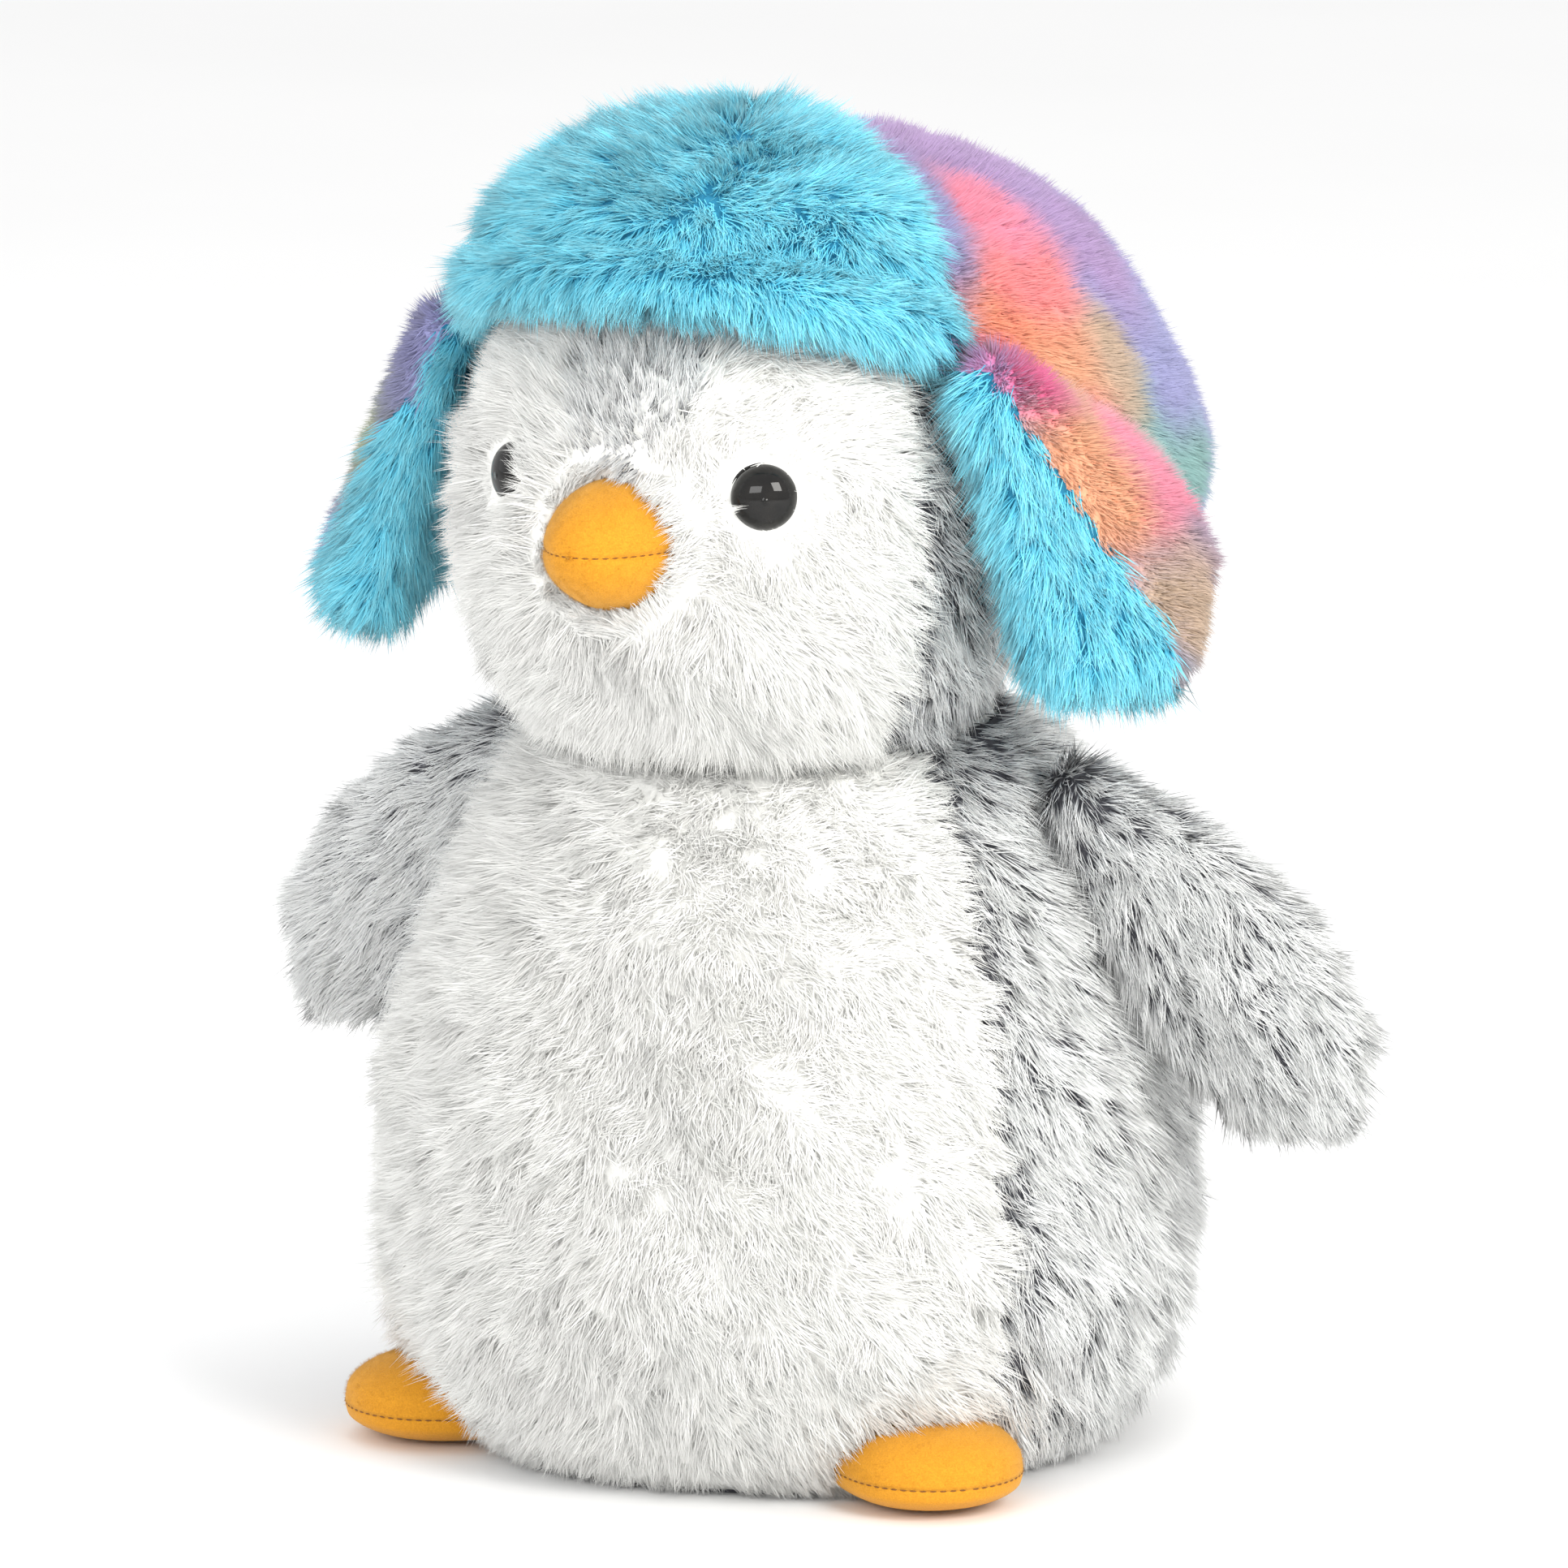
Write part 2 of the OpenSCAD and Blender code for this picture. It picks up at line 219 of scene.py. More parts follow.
def shell(name, grid, thickness, material, wrap=False):
    """A closed cover: the grid, a second layer inside it, and the edges between."""
    rows, columns = grid.shape[:2]
    patch = grid_patch(grid, wrap)
    outer = patch.points
    inside = outer - patch.normals * thickness
    quads = grid_quads(rows, columns, wrap)
    count = len(outer)
    index = np.arange(count).reshape(rows, columns)
    faces = [tuple(q) for q in quads] + [tuple(q[::-1] + count) for q in quads]
    rims = [index[0], index[-1][::-1]]
    if not wrap:
        rims += [index[::-1, 0], index[:, -1]]
    for rim in rims:
        if wrap:
            rim = np.append(rim, rim[0])
        faces += [(a, a + count, b + count, b) for a, b in zip(rim[:-1], rim[1:])]
    obj = new_object(name, np.concatenate([outer, inside]), faces, material)
    fix_normals(obj)
    return obj, patch


def object_patch(obj, keep=None):
    mesh = obj.data
    mesh.calc_loop_triangles()
    points = np.empty(len(mesh.vertices) * 3)
    mesh.vertices.foreach_get("co", points)
    points = points.reshape(-1, 3)
    triangles = np.empty(len(mesh.loop_triangles) * 3, dtype=np.int32)
    mesh.loop_triangles.foreach_get("vertices", triangles)
    triangles = triangles.reshape(-1, 3)
    patch = Patch(points, triangles)
    if keep is not None:
        centre = points[triangles].mean(axis=1)
        facing = unit(patch.normals[triangles].mean(axis=1))
        patch = Patch(points, triangles[keep(centre, facing)], patch.normals)
    return patch


def apply_modifiers(obj):
    graph = bpy.context.evaluated_depsgraph_get()
    mesh = bpy.data.meshes.new_from_object(obj.evaluated_get(graph))
    old = obj.data
    obj.modifiers.clear()
    obj.data = mesh
    bpy.data.meshes.remove(old)


def ball_points(centre, radius, count=120):
    """Points spread evenly over a ball."""
    i = np.arange(count) + 0.5
    z = 1 - 2 * i / count
    turn = i * math.pi * (3 - math.sqrt(5))
    r = np.sqrt(1 - z**2)
    return centre + radius * np.stack([r * np.cos(turn), r * np.sin(turn), z], axis=-1)


def pad(name, balls, voxel, rounds, material):
    """A stuffed form: a skin stretched over balls, made even and then relaxed."""
    form = bmesh.new()
    for centre, radius in balls:
        for p in ball_points(np.array(centre), radius):
            form.verts.new(tuple(p))
    bmesh.ops.convex_hull(form, input=form.verts)
    loose = [v for v in form.verts if not v.link_faces]
    bmesh.ops.delete(form, geom=loose, context="VERTS")
    mesh = bpy.data.meshes.new(name)
    form.to_mesh(mesh)
    form.free()
    obj = bpy.data.objects.new(name, mesh)
    bpy.context.scene.collection.objects.link(obj)
    even = obj.modifiers.new("even", "REMESH")
    even.mode = "VOXEL"
    even.voxel_size = voxel
    relax = obj.modifiers.new("relax", "SMOOTH")
    relax.iterations = rounds
    relax.factor = 0.5
    apply_modifiers(obj)
    obj.data.polygons.foreach_set("use_smooth", [True] * len(obj.data.polygons))
    obj.data.materials.append(material)
    return obj


def core(name, skin, node, body, depth=1.6):
    """The stuffing inside a closed skin: the same form, depth millimetres further in."""
    mesh = skin.data.copy()
    mesh.name = name
    points = np.array([tuple(v.co - v.normal * depth * MM) for v in skin.data.vertices])
    mesh.vertices.foreach_set("co", points.astype(np.float32).ravel())
    mesh.polygons.foreach_set("material_index", np.zeros(len(mesh.polygons), dtype=np.int32))
    mesh.materials.clear()
    mesh.materials.append(FILLING)
    mesh.update()
    obj = bpy.data.objects.new(name, mesh)
    bpy.context.scene.collection.objects.link(obj)
    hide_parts(node)
    belong(body, "filling", obj)


# ---------------------------------------------------------------- fur

LEAST_RISE, MOST_RISE = 0.12, 1.45      # radians between a strand and the skin
ROOT_DEPTH = 1.0 * MM
FRAY = 0.09


def grow(name, patch, material, seed, density=0.2, per_clump=12, length=9.0, width=0.55, spread=1.3,
         lift=38.0, comb=None, size=None, wander=0.45, stray=0.28, gather=0.3, tilt=0.35, painted_shade=None,
         floor=None):
    """Fur as tapered three-sided strands, which gather in clumps. Lengths are in millimetres.

    comb gives the direction that the fur lies in, size a share of the length (0 leaves a bare
    place), and the shade map an amount of painted shade from 0 to 1, by which the strands are darker."""
    rng = np.random.default_rng(seed)
    centre, normal = patch.sample(density * FUR_SHARE, rng)
    share = np.ones(len(centre)) if size is None else size(centre)
    keep = share > 0.05
    centre, normal, share = centre[keep], normal[keep], share[keep]
    flow = comb(centre, normal)
    flow = unit(flow - dot(flow, normal) * normal)
    side = np.cross(normal, flow)
    turn = wander * ripple(centre, 9 * MM, seed + 1) + rng.normal(0, stray, len(centre))
    rise = np.radians(lift) + 0.16 * ripple(centre, 6 * MM, seed + 2)
    rise = np.clip(rise + rng.normal(0, 0.5 * stray, len(centre)), LEAST_RISE, MOST_RISE)
    way = (np.cos(rise) * np.cos(turn))[:, None] * flow + (np.cos(rise) * np.sin(turn))[:, None] * side
    way = way + np.sin(rise)[:, None] * normal
    clump_shade = rng.random(len(centre))
    clump_tilt = rng.normal(0, tilt, (len(centre), 3))
    clump_long = share * rng.uniform(0.8, 1.15, len(centre))

    def each(a):
        return np.repeat(a, per_clump, axis=0)

    count = len(centre) * per_clump
    a = rng.normal(0, spread * MM, (count, 1))
    b = rng.normal(0, spread * MM, (count, 1))
    offset = a * each(flow) + b * each(side)
    root = each(centre) + offset - each(normal) * ROOT_DEPTH
    reach = (each(clump_long) * rng.uniform(0.65, 1.1, count))[:, None] * length * MM
    fray = rng.normal(0, FRAY, (count, 3)) * reach
    tip = each(centre) + each(way) * reach + offset * gather + fray
    if floor is not None:
        tip[:, 2] = np.maximum(tip[:, 2], floor)
        root[:, 2] = np.maximum(root[:, 2], floor)
    along = unit(tip - root)
    across = unit(np.cross(along, each(normal) + 0.01))
    over = np.cross(along, across)
    phase = rng.uniform(0, 2 * math.pi, count)
    half = width * MM / 2 * np.sqrt(each(share))[:, None] * rng.uniform(0.7, 1.2, (count, 1))
    corner = []
    for k in range(3):
        angle = (phase + k * 2 * math.pi / 3)[:, None]
        corner.append(across * np.cos(angle) + over * np.sin(angle))
    points = np.stack([root + c * half for c in corner] + [tip], axis=1).reshape(-1, 3)
    if floor is not None:
        points[:, 2] = np.maximum(points[:, 2], floor)
    base = unit(each(normal) + each(clump_tilt))
    facing = np.stack([unit(base + 0.35 * c) for c in corner] + [base], axis=1).reshape(-1, 3)
    triangles = np.array([[0, 1, 3], [1, 2, 3], [2, 0, 3]])[None] + 4 * np.arange(count)[:, None, None]
    triangles = triangles.reshape(-1, 3).astype(np.int32)

    # painted shade: each clump is drawn darker by this amount wherever the shade map puts shade
    painted_shade_depth = np.zeros(len(centre)) if painted_shade is None else painted_shade(centre)
    strand = rng.random(count)
    facts = np.empty((count, 4, 3), dtype=np.float32)
    facts[:, :3, 0] = 0
    facts[:, 3, 0] = 1
    facts[:, :, 1] = (0.6 * each(clump_shade) + 0.4 * strand)[:, None]
    facts[:, :, 2] = each(painted_shade_depth)[:, None]

    mesh = bpy.data.meshes.new(name)
    mesh.vertices.add(len(points))
    mesh.vertices.foreach_set("co", points.astype(np.float32).ravel())
    mesh.loops.add(triangles.size)
    mesh.loops.foreach_set("vertex_index", triangles.ravel())
    mesh.polygons.add(len(triangles))
    mesh.polygons.foreach_set("loop_start", np.arange(0, triangles.size, 3, dtype=np.int32))
    mesh.update(calc_edges=True)
    mesh.polygons.foreach_set("use_smooth", np.ones(len(triangles), dtype=bool))
    normals = mesh.attributes.new("custom_normal", "FLOAT_VECTOR", "POINT")
    normals.data.foreach_set("vector", facing.astype(np.float32).ravel())
    fur = mesh.attributes.new("fur", "FLOAT_VECTOR", "POINT")
    fur.data.foreach_set("vector", facts.ravel())
    lay_out(mesh, each(centre), triangles, strand)
    mesh.materials.append(material)
    obj = bpy.data.objects.new(name, mesh)
    bpy.context.scene.collection.objects.link(obj)
    return obj


def lay_out(mesh, place, triangles, strand, cells=48):
    """UVs for the fur's baked colours: a cell for each region, with root to tip going up in it."""
    low, high = place.min(axis=0), place.max(axis=0)
    wide = np.argsort(high - low)[::-1]
    part = (place - low) / np.maximum(high - low, 1e-6)
    u = np.floor(part[:, wide[0]] * (cells - 1e-3))
    v = np.floor(part[:, wide[1]] * (cells - 1e-3))
    x = 0.3 + 0.4 * strand
    corner_x = np.stack([x - 0.2, x, x + 0.2, x], axis=1)
    corner_y = np.array([0.08, 0.08, 0.08, 0.92])[None]
    uv = np.stack([(u[:, None] + corner_x) / cells, (v[:, None] + corner_y) / cells], axis=-1)
    layer = mesh.uv_layers.new(name="OFBake")
    layer.uv.foreach_set("vector", uv.reshape(-1, 2)[triangles.ravel()].astype(np.float32).ravel())


# ---------------------------------------------------------------- materials


class Nodes:
    """Short names for building a node material."""

    def __init__(self, name, roughness=0.8, **sockets):
        self.material = bpy.data.materials.new(name)
        self.material.use_nodes = True
        self.tree = self.material.node_tree
        self.shader = self.tree.nodes["Principled BSDF"]
        self.shader.inputs["Roughness"].default_value = roughness
        for key, value in sockets.items():
            self.shader.inputs[key.replace("_", " ")].default_value = value

    def add(self, kind, **settings):
        node = self.tree.nodes.new(kind)
        for key, value in settings.items():
            setattr(node, key, value)
        return node

    def link(self, a, b):
        self.tree.links.new(a, b)

    def math(self, operation, a, b=0.0, clamp=False):
        node = self.add("ShaderNodeMath", operation=operation, use_clamp=clamp)
        for socket, value in zip(node.inputs, (a, b)):
            if isinstance(value, (int, float)):
                socket.default_value = value
            else:
                self.link(value, socket)
        return node.outputs[0]

    def place(self):
        return self.add("ShaderNodeTexCoord").outputs["Object"]

    def noise(self, scale, detail=3.0, vector=None, roughness=0.5):
        node = self.add("ShaderNodeTexNoise")
        node.inputs["Scale"].default_value = scale
        node.inputs["Detail"].default_value = detail
        node.inputs["Roughness"].default_value = roughness
        self.link(vector or self.place(), node.inputs["Vector"])
        return node.outputs["Fac"]

    def ramp(self, fac, stops):
        node = self.add("ShaderNodeValToRGB")
        elements = node.color_ramp.elements
        while len(elements) < len(stops):
            elements.new(0.5)
        for element, (at, colour) in zip(elements, stops):
            element.position = at
            element.color = (*colour, 1)
        self.link(fac, node.inputs["Fac"])
        return node.outputs["Color"]

    def mix(self, fac, a, b):
        node = self.add("ShaderNodeMix", data_type="RGBA")
        for socket, value in zip((node.inputs[0], node.inputs[6], node.inputs[7]), (fac, a, b)):
            if isinstance(value, tuple):
                socket.default_value = (*value, 1)
            elif isinstance(value, (int, float)):
                socket.default_value = value
            else:
                self.link(value, socket)
        return node.outputs[2]

    def colour(self, value):
        self.link(value, self.shader.inputs["Base Color"])
        return self

    def relief(self, height, strength, distance):
        node = self.add("ShaderNodeBump")
        node.inputs["Strength"].default_value = strength
        node.inputs["Distance"].default_value = distance
        self.link(height, node.inputs["Height"])
        self.link(node.outputs["Normal"], self.shader.inputs["Normal"])
        return self


def fur_facts(m):
    """Root to tip, the strand's own random tone, and how much painted shade the place has."""
    attribute = m.add("ShaderNodeAttribute", attribute_name="fur")
    split = m.add("ShaderNodeSeparateXYZ")
    m.link(attribute.outputs["Vector"], split.inputs[0])
    return split.outputs


def fur_material(name, stops, spread=0.3, painted_shade_depth=0.5, fleck=0.0):
    """Fur with a colour ramp from root to tip. spread tells strands apart, the depth of painted shade is how
    far a place with painted shade moves down the ramp, and fleck how far the few darkest tufts do."""
    m = Nodes(name, roughness=0.85, Sheen_Weight=0.15, Sheen_Roughness=0.5, Specular_IOR_Level=0.25)
    rise, own, painted_shade_here = fur_facts(m)
    shifted = m.math("ADD", rise, m.math("MULTIPLY", m.math("SUBTRACT", own, 0.5), spread))
    # painted shade: strands in a shaded place are moved down the ramp, so they are darker
    shifted = m.math("SUBTRACT", shifted, m.math("MULTIPLY", painted_shade_here, painted_shade_depth))
    if fleck:
        few = m.math("MULTIPLY", m.math("SUBTRACT", 0.27, own), 6.0, clamp=True)
        shifted = m.math("SUBTRACT", shifted, m.math("MULTIPLY", few, fleck))
    return m.colour(m.ramp(shifted, stops)).material


def cloth_material(name, low, high, scale=900.0):
    """The knitted backing under the fur."""
    m = Nodes(name, roughness=0.95)
    grain = m.noise(scale, 4.0)
    return m.colour(m.ramp(grain, [(0.3, low), (0.7, high)])).relief(grain, 0.4, 0.0004).material


WHITE_STOPS = [(0.0, (0.90, 0.90, 0.87)), (0.35, (0.96, 0.96, 0.93)), (0.8, (0.98, 0.98, 0.95))]
GREY_STOPS = [
    (0.0, (0.05, 0.052, 0.06)), (0.12, (0.15, 0.155, 0.17)),
    (0.30, (0.60, 0.61, 0.62)), (0.6, (0.90, 0.91, 0.90)),
]
BLUE_STOPS = [
    (0.0, (0.06, 0.44, 0.64)), (0.25, (0.12, 0.60, 0.82)),
    (0.6, (0.20, 0.74, 0.93)), (1.0, (0.34, 0.83, 0.96)),
]

PINK, CORAL, ORANGE = (0.95, 0.30, 0.42), (0.97, 0.29, 0.30), (1.0, 0.36, 0.22)
LILAC, LAVENDER, MAUVE = (0.47, 0.32, 0.58), (0.38, 0.38, 0.66), (0.46, 0.34, 0.45)
TEAL, MINT, SAND = (0.30, 0.52, 0.50), (0.45, 0.74, 0.82), (0.62, 0.46, 0.34)
HOT_PINK, PEACH = (0.90, 0.16, 0.36), (0.92, 0.46, 0.28)
SAGE, GREY = (0.50, 0.56, 0.32), (0.38, 0.37, 0.42)

# Tie-dye: centre in millimetres, radius, colour. The first list is on both sides of the hat.
DYE = [
    ((40, 70, 200), 60, LAVENDER), ((0, 60, 255), 45, LILAC), ((30, 80, 225), 32, TEAL),
    ((77, 30, 204), 26, TEAL), ((77, 16, 219), 20, TEAL), ((64, 43, 234), 24, LAVENDER),
    ((53, 33, 255), 22, LILAC), ((26, 24, 274), 26, LILAC), ((71, 8, 234), 16, SAND),
    ((60, -11, 243), 21, ORANGE), ((55, 0, 256), 18, CORAL), ((44, 6, 265), 15, PINK),
    ((66, -6, 226), 17, PEACH), ((16, -2, 284), 12, MINT),
]
DYE_LEFT_FLAP = [
    ((80, -24, 212), 26, PEACH), ((69, -27, 233), 13, HOT_PINK), ((77, -2, 213), 17, PINK),
    ((90, -3, 205), 15, PINK), ((99, -1, 196), 12, MAUVE), ((99, -13, 188), 15, SAND),
    ((100, -20, 178), 9, GREY),
]
DYE_RIGHT_FLAP = [
    ((-80, -14, 208), 30, SAGE), ((-73, 0, 223), 24, SAGE), ((-70, -24, 230), 14, SAND),
    ((-98, -8, 196), 14, SAND),
    ((-101, -14, 184), 13, MAUVE), ((-100, -24, 176), 12, GREY),
]


def dyed(m, m_place):
    """Soft-edged patches of dye, laid one over another."""
    warp = m.add("ShaderNodeTexNoise")
    warp.inputs["Scale"].default_value = 28.0
    warp.inputs["Detail"].default_value = 2.0
    m.link(m_place, warp.inputs["Vector"])
    moved = m.add("ShaderNodeVectorMath", operation="MULTIPLY_ADD")
    m.link(warp.outputs["Color"], moved.inputs[0])
    moved.inputs[1].default_value = (0.02, 0.02, 0.02)
    m.link(m_place, moved.inputs[2])
    shifted = m.add("ShaderNodeVectorMath", operation="SUBTRACT")
    m.link(moved.outputs[0], shifted.inputs[0])
    shifted.inputs[1].default_value = (0.01, 0.01, 0.01)
    split = m.add("ShaderNodeSeparateXYZ")
    m.link(shifted.outputs[0], split.inputs[0])
    folded = m.add("ShaderNodeCombineXYZ")
    m.link(m.math("ABSOLUTE", split.outputs[0]), folded.inputs[0])
    m.link(split.outputs[1], folded.inputs[1])
    m.link(split.outputs[2], folded.inputs[2])
    colour = LAVENDER
    marks = [(folded, mark) for mark in DYE] + [(shifted, mark) for mark in DYE_LEFT_FLAP + DYE_RIGHT_FLAP]
    for where, (centre, radius, dye) in marks:
        gap = m.add("ShaderNodeVectorMath", operation="DISTANCE")
        m.link(where.outputs[0], gap.inputs[0])
        gap.inputs[1].default_value = tuple(c * MM for c in centre)
        fade = m.add("ShaderNodeMapRange", interpolation_type="SMOOTHSTEP")
        m.link(gap.outputs["Value"], fade.inputs["Value"])
        fade.inputs["From Min"].default_value = radius * MM * 1.25
        fade.inputs["From Max"].default_value = radius * MM * 0.45
        colour = m.mix(fade.outputs[0], colour, dye)
    return colour


def rainbow_material(name):
    m = Nodes(name, roughness=0.85, Sheen_Weight=0.2, Sheen_Roughness=0.5, Specular_IOR_Level=0.2)
    rise, own, _ = fur_facts(m)
    colour = dyed(m, m.place())
    level = m.math("ADD", m.math("MULTIPLY", rise, 0.8), m.math("MULTIPLY", own, 0.2))
    node = m.add("ShaderNodeMix", data_type="RGBA", blend_type="MULTIPLY")
    node.inputs[0].default_value = 1.0
    m.link(colour, node.inputs[6])
    m.link(m.ramp(level, [(0.0, (0.62, 0.62, 0.62)), (0.6, (1.0, 1.0, 1.0))]), node.inputs[7])
    return m.colour(node.outputs[2]).material


def rainbow_cloth(name):
    m = Nodes(name, roughness=0.95)
    return m.colour(dyed(m, m.place())).relief(m.noise(900.0), 0.4, 0.0004).material


def felt_material(name):
    m = Nodes(name, roughness=0.9, Sheen_Weight=0.35, Sheen_Roughness=0.4)
    m.shader.inputs["Sheen Tint"].default_value = (1.0, 0.75, 0.35, 1)
    fine = m.noise(2600.0, 5.0, roughness=0.7)
    broad = m.noise(120.0, 3.0)
    colour = m.ramp(fine, [(0.3, (0.56, 0.22, 0.005)), (0.7, (0.77, 0.34, 0.013))])
    worn = m.math("MULTIPLY", m.math("SUBTRACT", broad, 0.5, clamp=True), 0.5)
    colour = m.mix(worn, colour, (0.62, 0.24, 0.006))
    return m.colour(colour).relief(fine, 0.45, 0.0005).material


def thread_material(name):
    m = Nodes(name, roughness=0.7)
    twist = m.noise(4000.0)
    return m.colour(m.ramp(twist, [(0.3, (0.10, 0.035, 0.005)), (0.7, (0.30, 0.11, 0.012))])).material


def eye_material(name):
    m = Nodes(name, roughness=0.05, IOR=1.38)
    cloud = m.noise(300.0)
    return m.colour(m.ramp(cloud, [(0.3, (0.006, 0.006, 0.006)), (0.7, (0.012, 0.011, 0.010))])).material


def filling_material(name, colour):
    m = Nodes(name, roughness=0.95)
    fluff = m.noise(700.0, 5.0)
    pale = tuple(0.85 * c for c in colour)
    return m.colour(m.ramp(fluff, [(0.3, pale), (0.7, colour)])).relief(fluff, 0.6, 0.001).material


WHITE_FUR = fur_material("white_fur", WHITE_STOPS, spread=0.25, painted_shade_depth=0.4)
GREY_FUR = fur_material("frosted_grey_fur", GREY_STOPS, spread=0.2, painted_shade_depth=0.45, fleck=0.3)
BLUE_FUR = fur_material("blue_fur", BLUE_STOPS, spread=0.3, painted_shade_depth=0.25)
RAINBOW_FUR = rainbow_material("rainbow_plush")
WHITE_CLOTH = cloth_material("white_backing", (0.84, 0.84, 0.81), (0.92, 0.92, 0.89))
GREY_CLOTH = cloth_material("grey_backing", (0.035, 0.035, 0.045), (0.08, 0.08, 0.09))
BLUE_CLOTH = cloth_material("blue_backing", (0.015, 0.17, 0.29), (0.03, 0.26, 0.42))
RAINBOW_CLOTH = rainbow_cloth("rainbow_backing")
FELT = felt_material("orange_felt")
THREAD = thread_material("brown_thread")
EYE_BLACK = eye_material("eye_black")
FILLING = filling_material("polyester_filling", (0.9, 0.9, 0.87))
POUCH = filling_material("pouch_cotton", (0.72, 0.69, 0.62))
WASHER = filling_material("washer_plastic", (0.8, 0.8, 0.78))

# ---------------------------------------------------------------- combing


def from_point(point):
    point = np.array(point)

    def comb(p, n):
        return unit(p - point)
    return comb


def downward(p, n):
    return np.array([0.0, 0.0, -1.0]) + 0 * p


# ---------------------------------------------------------------- torso

BODY_FUR = 3.6 * MM     # how far the fur stands out from the body


def body_surface(turn, z):
    r = body_radius(z) - BODY_FUR
    seam = bump((np.abs(turn) - BELLY_SEAM) * r, 5 * MM)
    p = around(BODY_AXIS, turn, r, z)
    r = r - 1.4 * MM * seam + 1.1 * MM * ripple(p, 26 * MM, 5) + 0.5 * MM * ripple(p, 11 * MM, 6)
    hollow = bump(turn * r - 6 * MM, 20 * MM) * bump(z - 88 * MM, 16 * MM)
    r = r - 1.6 * MM * hollow
    tuck = smooth(z, NECK_Z - 9 * MM, NECK_Z)
    r = r - 3 * MM * tuck
    foot = smooth(z, 9 * MM, 0)
    return around(BODY_AXIS, turn, r - 2.5 * MM * foot, z)


def body_grid(start, end, columns, rows=72):
    turn, z = np.meshgrid(np.linspace(start, end, columns), np.linspace(1.2 * MM, NECK_Z, rows))
    return body_surface(turn, z)


def body_turn(p):
    return np.arctan2(p[:, 0] - BODY_AXIS[0], -(p[:, 1] - BODY_AXIS[1]))


def seam_gap(p, turn, seam, axis):
    r = np.hypot(p[:, 0] - axis[0], p[:, 1] - axis[1])
    return np.abs(np.abs(turn) - seam) * r


def body_size(p):
    """Fur is shorter at the floor and where the feet come out."""
    low = 0.55 + 0.45 * smooth(p[:, 2], 3 * MM, 22 * MM)
    neck = 1 - 0.35 * smooth(p[:, 2], NECK_Z - 12 * MM, NECK_Z)
    return low * neck


def belly_comb(p, n):
    out = np.stack([p[:, 0] * 2.2, 0 * p[:, 0], -np.full(len(p), 0.09)], axis=-1)
    return unit(out)


def back_comb(p, n):
    away = np.stack([0 * p[:, 0], np.full(len(p), 0.25), -np.ones(len(p))], axis=-1)
    return unit(away)


def back_size(p):
    edge = seam_gap(p, body_turn(p), BELLY_SEAM, BODY_AXIS)
    return body_size(p) * (0.7 + 0.3 * smooth(edge, 1 * MM, 8 * MM))


# Painted shade: darker along the groove of the belly seam and at the top of the body, under the head.
def back_painted_shade(p):
    edge = seam_gap(p, body_turn(p), BELLY_SEAM, BODY_AXIS)
    shoulder = smooth(p[:, 2], NECK_Z - 24 * MM, NECK_Z) * 0.3
    return np.clip((1 - smooth(edge, 1 * MM, 6 * MM)) * 0.75 + shoulder, 0, 1)


FLOOR = 0.3 * MM


def make_torso():
    gap = 0.2 * MM / BODY_R
    skin, patch = shell("belly_panel_skin", body_grid(-BELLY_SEAM + gap, BELLY_SEAM - gap, 90),
                        2.2 * MM, WHITE_CLOTH)
    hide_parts("belly_panel")
    fur = grow("belly_panel_fur", patch, WHITE_FUR, 11, density=0.30, per_clump=12, length=8.5, width=0.42,
               lift=46, comb=belly_comb, size=body_size, spread=1.3, gather=0.3, wander=0.6, stray=0.3,
               tilt=0.16, floor=FLOOR)
    belong("torso", "plush_white", skin, fur)
    sides = (("left", BELLY_SEAM + gap, math.pi), ("right", -math.pi, -BELLY_SEAM - gap))
    for name, start, end in sides:
        skin, patch = shell(f"back_panel_{name}_skin", body_grid(start, end, 84), 2.2 * MM, GREY_CLOTH)
        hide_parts(f"back_panel_{name}")
        fur = grow(f"back_panel_{name}_fur", patch, GREY_FUR, 13 if name == "left" else 14, density=0.23,
                   per_clump=11, length=9.5, width=0.45, lift=30, comb=back_comb, size=back_size,
                   painted_shade=back_painted_shade, spread=1.3, gather=0.4, wander=0.35, stray=0.2, floor=FLOOR)
        belong("torso", "plush_grey", skin, fur)


# ---------------------------------------------------------------- head

HEAD_FUR = 5.0 * MM
FACE_TOP = 256 * MM


def eye_front(side):
    """Where an eye meets the face, and the direction it looks in."""
    turn = side * EYE_TURN
    way = np.array([math.sin(turn), -math.cos(turn), 0])
    return HEAD_AXIS + way * (HEAD_R - EYE_SUNK) + [0, 0, EYE_Z], way


def head_surface(turn, z):
    r = head_radius(z) - HEAD_FUR
    p = around(HEAD_AXIS, turn, r, z)
    r = r + 0.9 * MM * ripple(p, 24 * MM, 15) + 0.4 * MM * ripple(p, 10 * MM, 16)
    cheek = bump((np.abs(turn) - 0.5) * r, 22 * MM) * bump(z - 188 * MM, 18 * MM)
    r = r + 2.2 * MM * cheek
    for side in (-1, 1):
        away = np.hypot((turn - side * EYE_TURN) * r, z - EYE_Z)
        r = r - 2.2 * MM * bump(away, 9 * MM)
    beak = np.hypot(turn * r, z - BEAK_Z)
    r = r - 2.5 * MM * bump(beak, 13 * MM)
    r = r - 1.2 * MM * bump((np.abs(turn) - FACE_SEAM) * r, 5 * MM)
    return around(HEAD_AXIS, turn, r, z)


def head_grid(start, end, columns, low, high, rows):
    turn, z = np.meshgrid(np.linspace(start, end, columns), np.linspace(low, high, rows))
    return head_surface(turn, z)


def head_turn(p):
    return np.arctan2(p[:, 0] - HEAD_AXIS[0], -(p[:, 1] - HEAD_AXIS[1]))


